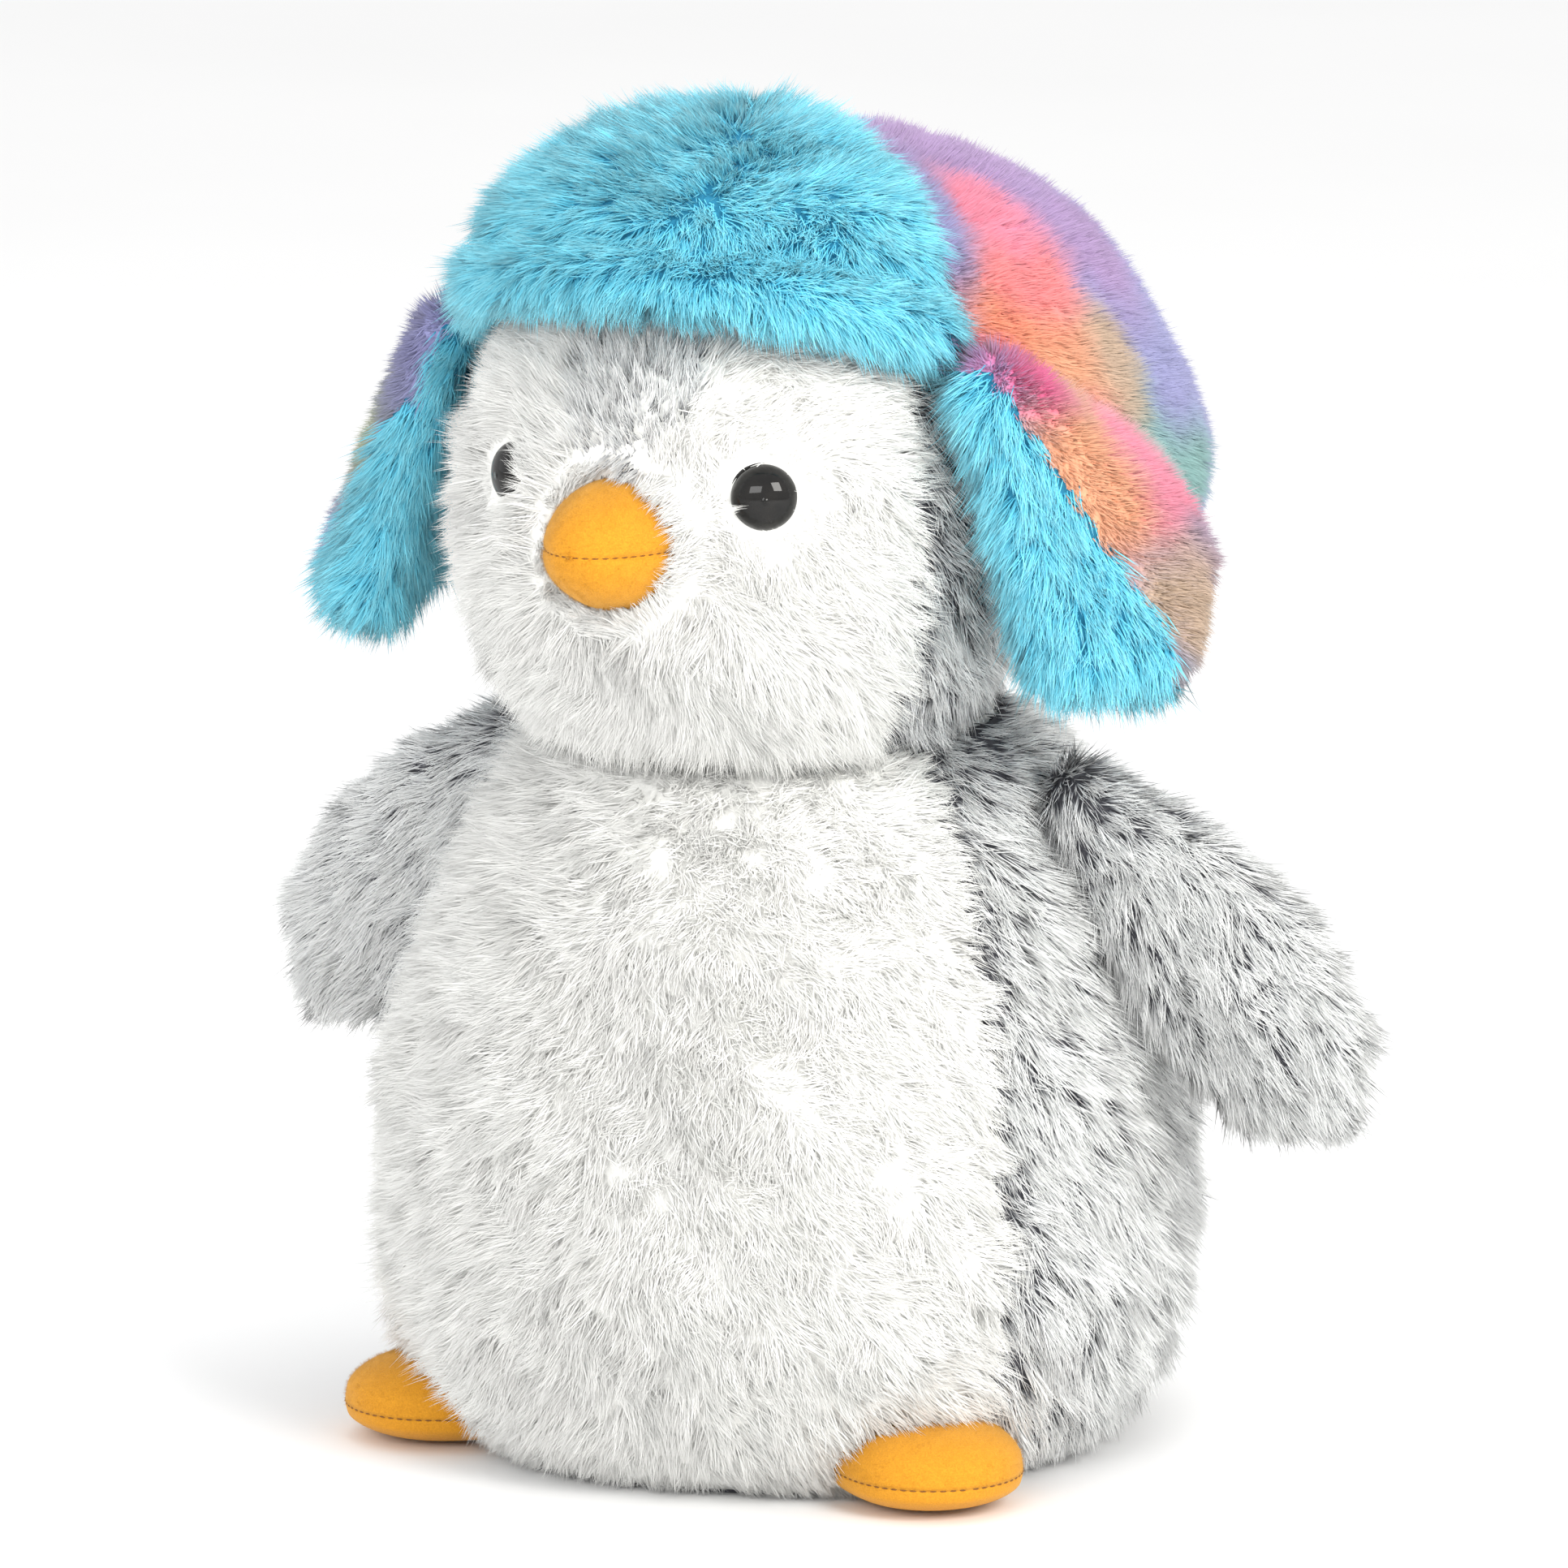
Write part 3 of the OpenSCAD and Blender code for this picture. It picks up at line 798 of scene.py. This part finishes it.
def face_comb(p, n):
    """Out from the beak, and down towards the chin at the cheeks."""
    beak = np.array([0, BEAK_TIP + 14 * MM, BEAK_Z])
    away = unit(p - beak)
    root = np.hypot(p[:, 0], p[:, 2] - BEAK_Z)[:, None]
    away = away * np.where(root < BEAK_R + 4.5 * MM, -1.0, 1.0)
    for side in (-1, 1):
        eye, _ = eye_front(side)
        near = np.exp(-(np.linalg.norm(p - eye, axis=1) / (13 * MM)) ** 2)[:, None]
        away = unit(away + 1.6 * near * unit(p - eye))
    down = smooth(np.linalg.norm(p - beak, axis=1), 18 * MM, 55 * MM)[:, None]
    return unit(away * (1 - 0.45 * down) + np.array([0, 0, -1.0]) * 0.45 * down)


def face_size(p):
    size = np.ones(len(p))
    for side in (-1, 1):
        eye, _ = eye_front(side)
        gap = np.linalg.norm(p - eye, axis=1)
        inner = smooth(side * (eye[0] - p[:, 0]), 0, 6 * MM)
        inner = inner * smooth(p[:, 2], eye[2] - 12 * MM, eye[2] - 4 * MM)
        short = 0.42 + 0.45 * inner
        size = size * np.where(gap < 7.6 * MM, 0, short + (1 - short) * smooth(gap, 8 * MM, 15 * MM))
    beak = np.hypot(p[:, 0], p[:, 2] - BEAK_Z)
    size = size * np.where(beak < BEAK_R - 1.5 * MM, 0, 0.7 + 0.3 * smooth(beak, BEAK_R, BEAK_R + 6 * MM))
    return size


def in_stripe(p):
    """1 on the grey forehead stripe, which comes to a point over the beak."""
    z = p[:, 2] + 1.5 * MM * ripple(p, 5 * MM, 31)
    half = STRIPE_HALF * smooth(z, BEAK_Z + 10 * MM, BEAK_Z + 30 * MM) ** 0.6
    return (np.abs(p[:, 0] + 1.2 * MM * ripple(p, 6 * MM, 32)) < half) & (p[:, 1] < HEAD_AXIS[1])


# Painted shade: darker along the groove of the face seam and low down where the head meets the body; the
# whole back of the head is also a little darker.
def head_back_painted_shade(p):
    edge = seam_gap(p, head_turn(p), FACE_SEAM, HEAD_AXIS)
    neck = 0.5 * (1 - smooth(p[:, 2], HEAD_LOW, HEAD_LOW + 22 * MM))
    return np.clip((1 - smooth(edge, 1 * MM, 8 * MM)) * 0.85 + neck + 0.2, 0, 1)


def make_head():
    skin, patch = shell("face_panel_skin", head_grid(-FACE_SEAM, FACE_SEAM, 110, HEAD_LOW, FACE_TOP, 90),
                        2.2 * MM, WHITE_CLOTH)
    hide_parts("face_panel")

    def face_only(p):
        return face_size(p) * ~in_stripe(p)

    def stripe_only(p):
        return face_size(p) * in_stripe(p) * 0.9

    fur = grow("face_panel_fur", patch, WHITE_FUR, 21, density=0.40, per_clump=12, length=8.5, width=0.38,
               lift=44, comb=face_comb, size=face_only, spread=1.1, gather=0.3, wander=0.55, stray=0.3,
               tilt=0.16)
    belong("head", "plush_white", skin, fur)

    wide = STRIPE_HALF / HEAD_R
    stripe = head_grid(-wide, wide, 24, BEAK_Z + 15 * MM, FACE_TOP, 30)
    stripe = stripe + unit(stripe - HEAD_AXIS - [0, 0, CHEEK_Z]) * 0.4 * MM
    skin, _ = shell("forehead_stripe_skin", stripe, 0.8 * MM, WHITE_CLOTH)
    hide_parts("forehead_stripe")
    fur = grow("forehead_stripe_fur", patch, GREY_FUR, 23, density=0.45, per_clump=11, length=8.0, width=0.38,
               lift=36, comb=face_comb, size=stripe_only, spread=1.1, gather=0.3, stray=0.2)
    belong("head", "plush_grey", skin, fur)

    sides = (("left", FACE_SEAM, math.pi), ("right", -math.pi, -FACE_SEAM))
    for name, start, end in sides:
        skin, patch = shell(f"head_back_{name}_skin", head_grid(start, end, 70, HEAD_LOW, FACE_TOP, 60),
                            2.2 * MM, GREY_CLOTH)
        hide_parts(f"head_back_{name}")
        fur = grow(f"head_back_{name}_fur", patch, GREY_FUR, 25 if name == "left" else 26, density=0.24,
                   per_clump=10, length=8.5, width=0.45, lift=33, comb=back_comb, painted_shade=head_back_painted_shade,
                   spread=1.2, gather=0.4, stray=0.2)
        belong("head", "plush_grey", skin, fur)


# ---------------------------------------------------------------- eyes and beak


def lathe(name, centre, way, profile, material, sides=72):
    """Turns a profile of (distance along way, radius) about an axis."""
    way = np.array(way, dtype=float)
    across = unit(np.cross(way, [0, 0, 1.0]))
    over = np.cross(across, way)
    turn = np.linspace(0, 2 * math.pi, sides, endpoint=False)
    grid = np.array([
        [centre + way * s + (across * math.cos(t) + over * math.sin(t)) * r for t in turn]
        for s, r in profile
    ])
    rows = len(profile)
    faces = [tuple(q) for q in grid_quads(rows, sides, wrap=True)]
    faces += [tuple(range(sides))[::-1], tuple(range((rows - 1) * sides, rows * sides))]
    obj = new_object(name, grid.reshape(-1, 3), faces, material)
    fix_normals(obj)
    return obj


def fix_normals(obj):
    form = bmesh.new()
    form.from_mesh(obj.data)
    bmesh.ops.recalc_face_normals(form, faces=form.faces)
    form.to_mesh(obj.data)
    form.free()


def make_eyes():
    for name, side in (("left", 1), ("right", -1)):
        seat, way = eye_front(side)
        dome = [(5.2 * MM * math.sin(a), EYE_R * 0.93 * math.cos(a) ** 0.9 if a < 1.5 else 0.02 * MM)
                for a in np.linspace(0, math.pi / 2, 26)]
        rim = [(-12 * MM, 2.2 * MM), (-0.2 * MM, 2.2 * MM), (-0.2 * MM, EYE_R * 0.96),
               (0.1 * MM, EYE_R), (0.55 * MM, EYE_R), (0.85 * MM, EYE_R * 0.97), (0.7 * MM, EYE_R * 0.94)]
        profile = rim + [(s + 0.7 * MM, r) for s, r in dome]
        eye = lathe(f"eye_{name}_dome", seat, way, profile, EYE_BLACK)
        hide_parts(f"eye_{name}")
        belong("head", "eye_black", eye)


def beak_grid(low, high, rows=56, columns=110):
    """Half of the beak. The angle goes round its axis, and the seams lie at both ends of the range."""
    even = np.linspace(0, 1, columns)
    eased = even - np.sin(4 * math.pi * even) / (4 * math.pi) * 0.6
    turn = low + (high - low) * eased
    s = np.linspace(0.1, math.pi / 2 - 0.02, rows)
    turn, s = np.meshgrid(turn, s)
    y = BEAK_MIDDLE - BEAK_HALF * np.sin(s)
    r = BEAK_R * 1.03 * np.cos(s)
    edge = np.minimum(np.abs(turn - low), np.abs(turn - high)) * r
    r = r - 0.65 * MM * bump(edge, 0.75 * MM)
    p = np.stack([r * np.cos(turn), y, BEAK_Z + 0.94 * r * np.sin(turn)], axis=-1)
    return p + unit(p - [0, BEAK_MIDDLE, BEAK_Z]) * (0.15 * MM * ripple(p, 7 * MM, 41))[..., None]


def seam_thread(name, path, body, every=2.1, long=1.35, thick=0.17):
    """Short stitches along a seam, from a list of points."""
    path = np.array(path)
    step = np.linalg.norm(np.diff(path, axis=0), axis=1)
    along = np.concatenate([[0], np.cumsum(step)])
    points, faces = [], []
    at = 0.5 * every * MM
    while at + long * MM < along[-1]:
        stops = np.linspace(at, at + long * MM, 5)
        line = np.stack([np.interp(stops, along, path[:, k]) for k in range(3)], axis=-1)
        way = unit(line[-1] - line[0])
        across = unit(np.cross(way, [0.1, 0.2, 1.0]))
        over = np.cross(way, across)
        first = len(points)
        for p, share in zip(line, (0.35, 0.9, 1.0, 0.9, 0.35)):
            for k in range(6):
                a = k * math.pi / 3
                points.append(p + (across * math.cos(a) + over * math.sin(a)) * thick * MM * share)
        for ring in range(4):
            for k in range(6):
                a, b = first + ring * 6 + k, first + ring * 6 + (k + 1) % 6
                faces.append((a, b, b + 6, a + 6))
        faces.append(tuple(first + k for k in range(6))[::-1])
        faces.append(tuple(first + 24 + k for k in range(6)))
        at += every * MM
    obj = new_object(name, points, faces, THREAD)
    fix_normals(obj)
    belong(body, "felt_orange", obj)
    return obj


def fuzz(name, patch, seed, body, density=3.0):
    """The fine standing fibres of felt."""
    obj = grow(name, patch, FELT, seed, density=density, per_clump=2, length=0.9, width=0.11, spread=0.4,
               lift=48, comb=downward, gather=1.0, wander=3.0, tilt=0.15)
    belong(body, "felt_orange", obj)


def make_beak():
    for name, low, high in (("upper", 0.0, math.pi), ("lower", -math.pi, 0.0)):
        grid = beak_grid(low, high)
        skin, patch = shell(f"beak_{name}_felt", grid[:, ::-1], 1.3 * MM, FELT)
        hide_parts(f"beak_{name}")
        belong("head", "felt_orange", skin)
        fuzz(f"beak_{name}_fuzz", patch, 51 if name == "upper" else 52, "head")
    ridge = beak_grid(0.0, math.pi)
    path = np.concatenate([ridge[::-1, 0][::-1], ridge[::-1, -1]])
    seam_thread("beak_stitches", path, "head")


# ---------------------------------------------------------------- hat

BRIM_LOW = box("hat_brim")[0][2]
BRIM_HIGH = box("hat_brim")[1][2]


# Distance from the head's axis and height of the brim's outside, from the hem up to the top, in mm
BRIM_OUTSIDE = [
    (50, 250), (55, 247), (58.5, 249), (59.5, 254), (57.5, 260), (53.5, 267), (47, 274), (38, 280),
    (27, 284.5), (16, 286.5), (5, 287), (4, 280), (20, 271), (34, 262), (42, 252),
]


ROUNDING = (-3, -1.5, 0, 1.5, 3)        # the outline is averaged over this stretch, in mm


def brim_surface(turn, loop):
    """A stuffed pad round the brow, which covers the front of the hat. loop goes once round it."""
    part = np.abs(turn) / BRIM_END
    outline = np.array(BRIM_OUTSIDE + BRIM_OUTSIDE[:1], dtype=float)
    step = np.concatenate([[0], np.cumsum(np.linalg.norm(np.diff(outline, axis=0), axis=1))])
    at = loop / (2 * math.pi) * step[-1]
    r, z = (sum(np.interp((at + shift) % step[-1], step, outline[:, k]) for shift in ROUNDING)
            / len(ROUNDING) * MM for k in range(2))
    rise = np.clip((z - 250 * MM) / (38 * MM), 0, 1)
    roll = 0.32 + 0.03 * np.sin(turn * 3.1 + 0.6)
    outside = smooth(r, 40 * MM, 50 * MM)
    r = r + outside * (1.6 * MM * bump(rise - 0.08, 0.2) - 2.4 * MM * bump(rise - roll, 0.07))
    drop = (5 - 17 * part**2) * MM * (1 - rise) ** 1.2
    z = z + drop - 3 * MM * part**3 * rise
    end = np.sqrt(np.clip(1 - np.clip((part - 0.9) / 0.1, 0, 1) ** 2, 0, 1))
    r = 40 * MM + (r - 40 * MM) * (0.5 + 0.5 * end)
    z = 262 * MM + (z - 262 * MM) * (0.8 + 0.2 * end)
    p = around(HEAD_AXIS, turn * BRIM_SPREAD, r, z)
    p = around(HEAD_AXIS, turn * BRIM_SPREAD, r + 0.8 * MM * ripple(p, 15 * MM, 62), z)
    p[..., 1] = p[..., 1] + 9 * MM * smooth(z, 268 * MM, 292 * MM)
    return p


def brim_comb(p, n):
    """Over the top and down the front, a little outwards at the ends."""
    turn = head_turn(p)
    aside = np.stack([np.cos(turn), np.sin(turn), 0 * turn], axis=-1) * np.tanh(3 * turn)[:, None] * 0.15
    out = np.stack([np.sin(turn), -np.cos(turn), 0 * turn], axis=-1) * 0.5
    return unit(np.array([0.0, 0.0, -1.0]) + out + aside)


# Painted shade: a darker band about a third of the way up the brim.
def brim_painted_shade(p):
    rise = (p[:, 2] - BRIM_LOW) / (BRIM_HIGH - BRIM_LOW)
    return 0.22 * bump(rise - 0.3, 0.06)


def make_brim():
    turn, loop = np.meshgrid(np.linspace(-BRIM_END, BRIM_END, 120),
                             np.linspace(0, 2 * math.pi, 64, endpoint=False), indexing="ij")
    grid = brim_surface(turn, loop)
    rows, columns = grid.shape[:2]
    faces = [tuple(q) for q in grid_quads(rows, columns, wrap=True)]
    faces += [tuple(range(columns))[::-1], tuple(range((rows - 1) * columns, rows * columns))]
    skin = new_object("hat_brim_skin", grid.reshape(-1, 3), faces, BLUE_CLOTH)
    fix_normals(skin)
    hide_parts("hat_brim")
    core("hat_brim_filling_core", skin, "hat_brim_filling", "head")

    def outer_side(p, n):
        r = np.hypot(p[:, 0] - HEAD_AXIS[0], p[:, 1] - HEAD_AXIS[1])
        end = np.abs(head_turn(p)) > BRIM_END - math.radians(6)
        out = ((p - HEAD_AXIS) * n)[:, :2].sum(axis=1) / r
        return (out > -0.2) | (n[:, 2] > 0.3) | end

    fur = grow("hat_brim_fur", object_patch(skin, outer_side), BLUE_FUR, 63, density=0.42, per_clump=12,
               length=7.8, width=0.4, lift=38, comb=brim_comb, painted_shade=brim_painted_shade, spread=1.1, gather=0.45,
               wander=0.35, stray=0.2, tilt=0.16)
    belong("head", "plush_blue", skin, fur)


CROWN_FUR = 1.3 * MM


def crown_radius(turn, z):
    """Distance from the hat's axis to a skin over a large ball at the back and a small one at the brow."""
    best = np.zeros(np.broadcast(turn, z).shape)
    for t in np.linspace(0, 1, 13):
        centre = HAT_CENTRE + (BROW_CENTRE - HAT_CENTRE) * t
        radius = HAT_R + (BROW_R - HAT_R) * t - CROWN_FUR
        level = radius**2 - (z - centre[2]) ** 2
        shift = HAT_CENTRE[1] - centre[1]
        inside = level - (shift * np.sin(turn)) ** 2
        reach = shift * np.cos(turn) + np.sqrt(np.maximum(inside, 0))
        best = np.maximum(best, np.where((level > 0) & (inside > 0), reach, 0))
    return best


def crown_grid(start, end, columns=90, rows=70):
    turn, v = np.meshgrid(np.linspace(start, end, columns), np.linspace(0, 1, rows))
    top = HAT_CENTRE[2] + HAT_R - CROWN_FUR
    hem = np.full(turn.shape, 215 * MM)
    for _ in range(6):
        y = HAT_CENTRE[1] - crown_radius(turn, hem) * np.cos(turn)
        hem = HEM_Z - HEM_SLOPE * (y - HEM_Y)
    hem = np.minimum(hem, 262 * MM)
    z = hem + (top - hem) * np.sin(v * math.pi / 2 * 0.995)
    r = crown_radius(turn, z)
    p = around(HAT_CENTRE, turn, r, z)
    slack = 1.3 * MM * ripple(p, 34 * MM, 71) * smooth(v, 1.0, 0.8)
    lip = -2.5 * MM * bump(v, 0.05)
    return around(HAT_CENTRE, turn, np.maximum(r + slack + lip, 0.3 * MM), z)


def crown_comb(p, n):
    return unit(p - (HAT_CENTRE + [0, -20 * MM, 60 * MM]))


def make_crown():
    for name, start, end in (("left", 0.001, math.pi), ("right", -math.pi, -0.001)):
        skin, patch = shell(f"hat_crown_{name}_skin", crown_grid(start, end), 1.6 * MM, RAINBOW_CLOTH)
        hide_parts(f"hat_crown_{name}")

        def open_part(p):
            turn = np.abs(head_turn(p))
            covered = (turn < BRIM_END - 0.25) & (np.hypot(p[:, 0], p[:, 1] - HEAD_AXIS[1]) > 34 * MM)
            return np.where(covered, 0.0, 1.0)

        fur = grow(f"hat_crown_{name}_fur", patch, RAINBOW_FUR, 73 if name == "left" else 74, density=0.72,
                   per_clump=7, length=4.4, width=0.46, lift=56, comb=crown_comb, size=open_part,
                   spread=0.8, gather=1.0, wander=0.2, stray=0.12, tilt=0.08)
        belong("head", "plush_rainbow", skin, fur)


# ---------------------------------------------------------------- ear flaps and flippers


def mirrored(points, side):
    return [((x * side * MM, y * MM, z * MM), r * MM) for x, y, z, r in points]


# x, y, z and radius of the balls under the skin, on the left side
FLAP_BALLS = [
    (65, -34, 236, 6.5), (73, 12, 212, 6.5), (94, -4, 196, 6.5), (97, -19, 180, 7.5), (83, -35, 181, 7),
    (80, -16, 207, 9.5), (90, -17, 191, 9.5),
]
FLIPPER_BALLS = [
    (67, 2, 142, 8), (94, 4, 132, 6.5), (112, 7, 117, 6.5), (124, 8, 99, 6), (121, 9, 83, 6.5),
    (107, 8, 83, 6.5), (86, 3, 103, 6), (76, 1, 122, 7), (92, 5, 118, 10), (107, 7, 100, 10),
]


def plane_of(points):
    a, b, c = (np.array(p) for p in points)
    return unit(np.cross(b - a, c - a))


def make_flaps():
    for name, side in (("left", 1), ("right", -1)):
        balls = mirrored(FLAP_BALLS, side)
        skin = pad(f"ear_flap_{name}_skin", balls, 2.2 * MM, 6, RAINBOW_CLOTH)
        skin.data.materials.append(BLUE_CLOTH)
        normal = plane_of([balls[0][0], balls[1][0], balls[3][0]]) * side   # towards the lining

        hem = np.array(balls[0][0])
        across = unit(np.cross(np.array(balls[3][0]) - hem, normal))
        across = across * np.sign((np.array(balls[4][0]) - hem) @ across)

        wrap = (4.5 if side > 0 else 9) * MM

        def lining(p, n):
            """The blue fur also wraps round the front edge, up to a line from the hem to the tip."""
            return (n @ normal > 0.3) | ((p - hem) @ across > wrap)

        def plush_side(p, n):
            return ~lining(p, n)

        centre = np.array([tuple(f.center) for f in skin.data.polygons])
        facing = np.array([tuple(f.normal) for f in skin.data.polygons])
        skin.data.polygons.foreach_set("material_index", lining(centre, facing).astype(np.int32))
        core(f"ear_flap_{name}_filling_core", skin, f"ear_flap_{name}_filling", f"ear_flap_{name}")
        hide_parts(f"ear_flap_{name}_outer", f"ear_flap_{name}_lining")
        fold = (np.array(balls[0][0]) + np.array(balls[1][0])) / 2 + [0, 0, 25 * MM]
        comb = from_point(fold)
        blue = grow(f"ear_flap_{name}_lining_fur", object_patch(skin, lining), BLUE_FUR, 81, density=0.4,
                    per_clump=11, length=9.5, width=0.42, lift=36, comb=comb, spread=1.1, gather=0.4,
                    wander=0.3, stray=0.2, tilt=0.16)
        plush = grow(f"ear_flap_{name}_outer_fur", object_patch(skin, plush_side), RAINBOW_FUR, 83,
                     density=0.75, per_clump=7, length=4.4, width=0.46, lift=54, comb=comb, spread=0.8,
                     gather=1.0, wander=0.2, stray=0.12, tilt=0.08)
        for obj in (skin, blue, plush):
            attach(obj, f"ear_flap_{name}")


def make_flippers():
    for name, side in (("left", 1), ("right", -1)):
        balls = mirrored(FLIPPER_BALLS, side)
        skin = pad(f"flipper_{name}_skin", balls, 2.2 * MM, 6, GREY_CLOTH)
        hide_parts(f"flipper_{name}_front", f"flipper_{name}_back")
        shoulder = np.array(balls[0][0])
        origin = shoulder
        normal = plane_of([balls[0][0], balls[3][0], balls[5][0]])
        normal = normal * np.sign(normal[1])
        core(f"flipper_{name}_filling_core", skin, f"flipper_{name}_filling", f"flipper_{name}")

        def front(p, n):
            return (p - origin) @ normal < 0

        def back(p, n):
            return ~front(p, n)

        start = shoulder + np.array([-26 * side, 0, 22]) * MM

        # Painted shade: darker along the edge where front and back meet, and near the shoulder, where the
        # flipper joins the body.
        def painted_shade(p):
            edge = np.abs((p - origin) @ normal)
            inner = 1 - smooth(np.linalg.norm(p - shoulder, axis=1), 6 * MM, 26 * MM)
            return np.clip(0.3 * (1 - smooth(edge, 0.5 * MM, 3 * MM)) + 0.45 * inner, 0, 1)

        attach(skin, f"flipper_{name}")
        for part, keep in (("front", front), ("back", back)):
            fur = grow(f"flipper_{name}_{part}_fur", object_patch(skin, keep), GREY_FUR,
                       91 if part == "front" else 92, density=0.36, per_clump=11, length=9.5, width=0.42,
                       lift=24, comb=from_point(start), painted_shade=painted_shade, spread=1.1, gather=0.4, wander=0.3,
                       stray=0.18)
            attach(fur, f"flipper_{name}")


# ---------------------------------------------------------------- feet


def foot_grid(name, up, rows=34, columns=150):
    """Top or sole of a foot: an oval pad with its seam low on the side."""
    low, _ = box(f"foot_{name}_sole")
    _, high = box(f"foot_{name}_top")
    centre = (low + high) / 2
    side = 1 if name == "left" else -1
    turn = side * math.radians(53)
    long_way = np.array([math.sin(turn), -math.cos(turn), 0])
    wide_way = np.array([-long_way[1], long_way[0], 0])
    seam_z = 0.4 * high[2]
    a, s = np.meshgrid(np.linspace(0, 2 * math.pi, columns, endpoint=False),
                       1 - np.linspace(0, 1, rows) ** 1.6)
    s = s[::-1]
    half_wide, stretch = 20 * MM, 4 * MM
    reach = 1 - (1 - s) * 0.985
    crown = np.sqrt(np.clip(1 - reach**2.6, 0, 1))
    height = (high[2] - 0.4 * MM - seam_z) if up > 0 else (seam_z - 0.2 * MM)
    z = seam_z + up * height * crown
    x = half_wide * reach * np.cos(a) + stretch * reach * np.tanh(3 * np.cos(a))
    y = half_wide * reach * np.sin(a)
    pinch = 0.5 * MM * bump((1 - reach) * half_wide, 0.7 * MM)
    shrink = 1 - pinch / half_wide
    p = centre * [1, 1, 0] + (x * shrink)[..., None] * long_way + (y * shrink)[..., None] * wide_way
    p = p + np.stack([0 * z, 0 * z, z], axis=-1)
    return p


def foot_core(name):
    grid = np.concatenate([foot_grid(name, 1), foot_grid(name, -1)[::-1]])
    centre = grid.reshape(-1, 3).mean(axis=0)
    grid = centre + (grid - centre) * 0.9
    rows, columns = grid.shape[:2]
    faces = [tuple(q) for q in grid_quads(rows, columns, wrap=True)]
    faces += [tuple(range(columns))[::-1], tuple(range((rows - 1) * columns, rows * columns))]
    obj = new_object(f"foot_{name}_filling_core", grid.reshape(-1, 3), faces, FILLING)
    fix_normals(obj)
    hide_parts(f"foot_{name}_filling")
    belong(f"foot_{name}", "filling", obj)


def make_feet():
    for name in ("left", "right"):
        for part, up in (("top", 1), ("sole", -1)):
            grid = foot_grid(name, up)
            if up < 0:
                grid = grid[:, ::-1]
            rows, columns = grid.shape[:2]
            faces = [tuple(q) for q in grid_quads(rows, columns, wrap=True)]
            faces += [tuple(range(columns))[::-1], tuple(range((rows - 1) * columns, rows * columns))]
            obj = new_object(f"foot_{name}_{part}_felt", grid.reshape(-1, 3), faces, FELT)
            fix_normals(obj)
            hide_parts(f"foot_{name}_{part}")
            belong(f"foot_{name}", "felt_orange", obj)
            if up > 0:
                fuzz(f"foot_{name}_fuzz", grid_patch(grid, wrap=True), 95, f"foot_{name}", density=2.2)
        foot_core(name)
        rim = foot_grid(name, 1)
        edge = rim[int(np.argmax(np.ptp(rim[..., 0], axis=1)))]
        seam_thread(f"foot_{name}_stitches", list(edge) + [edge[0]], f"foot_{name}")


# ---------------------------------------------------------------- what stays of the CAD model


def dress_nodes():
    for name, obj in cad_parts.items():
        if name.endswith("filling"):
            chosen = FILLING
        elif name == "pellet_pouch":
            chosen = POUCH
        elif name.startswith("eye_washer"):
            chosen = WASHER
        elif name == "base_panel":
            chosen = GREY_CLOTH
        else:
            continue
        for slot in obj.material_slots:
            slot.material = chosen


# ---------------------------------------------------------------- studio


def look_at(obj, target):
    obj.rotation_euler = (Vector(target) - obj.location).to_track_quat("-Z", "Y").to_euler()


def make_camera():
    turn, rise, away = math.radians(30), math.radians(11), 2.6
    frame_width, sensor = 0.3331, 36
    target = Vector((-0.0009, BODY_AXIS[1] - 0.0005, 0.1397))
    way = Vector((math.sin(turn) * math.cos(rise), -math.cos(turn) * math.cos(rise), math.sin(rise)))
    data = bpy.data.cameras.new("camera")
    data.sensor_width = sensor
    data.lens = sensor * away / frame_width
    data.clip_start = 0.1
    camera = bpy.data.objects.new("camera", data)
    camera.location = target + way * away
    bpy.context.scene.collection.objects.link(camera)
    look_at(camera, target)
    bpy.context.scene.camera = camera


def area_light(name, place, target, size, power, colour=(1, 1, 1)):
    data = bpy.data.lights.new(name, "AREA")
    data.shape = "RECTANGLE"
    data.size, data.size_y = size
    data.energy = power
    data.color = colour
    obj = bpy.data.objects.new(name, data)
    obj.location = place
    bpy.context.scene.collection.objects.link(obj)
    look_at(obj, target)


def make_studio():
    floor = new_object("floor", [(-9, -9, 0), (9, -9, 0), (9, 9, 0), (-9, 9, 0)], [(0, 1, 2, 3)])
    m = Nodes("floor_paper", roughness=0.95)
    floor.data.materials.append(m.colour(m.ramp(m.noise(3.0), [(0.3, (0.88, 0.88, 0.88)),
                                                                (0.7, (0.9, 0.9, 0.9))])).material)
    world = bpy.data.worlds.new("studio")
    bpy.context.scene.world = world
    world.use_nodes = True
    world.node_tree.nodes["Background"].inputs["Color"].default_value = (1, 1, 1, 1)
    world.node_tree.nodes["Background"].inputs["Strength"].default_value = 1.0
    aim = (0, 0, 0.16)
    area_light("key", (1.35, -0.55, 0.95), aim, (0.7, 0.7), 19, (1.0, 0.985, 0.95))
    area_light("front", (0.25, -1.5, 0.75), aim, (0.9, 0.5), 8, (1.0, 1.0, 1.0))
    area_light("fill", (-1.2, -0.6, 0.6), aim, (0.9, 0.9), 1.0, (0.93, 0.95, 1.0))
    area_light("top", (0.0, 0.3, 1.5), aim, (1.0, 1.0), 4, (1.0, 1.0, 1.0))
    bpy.context.scene.view_settings.view_transform = "Standard"


make_camera()
make_studio()
make_torso()
make_head()
make_eyes()
make_beak()
make_brim()
make_crown()
make_flaps()
make_flippers()
make_feet()
dress_nodes()
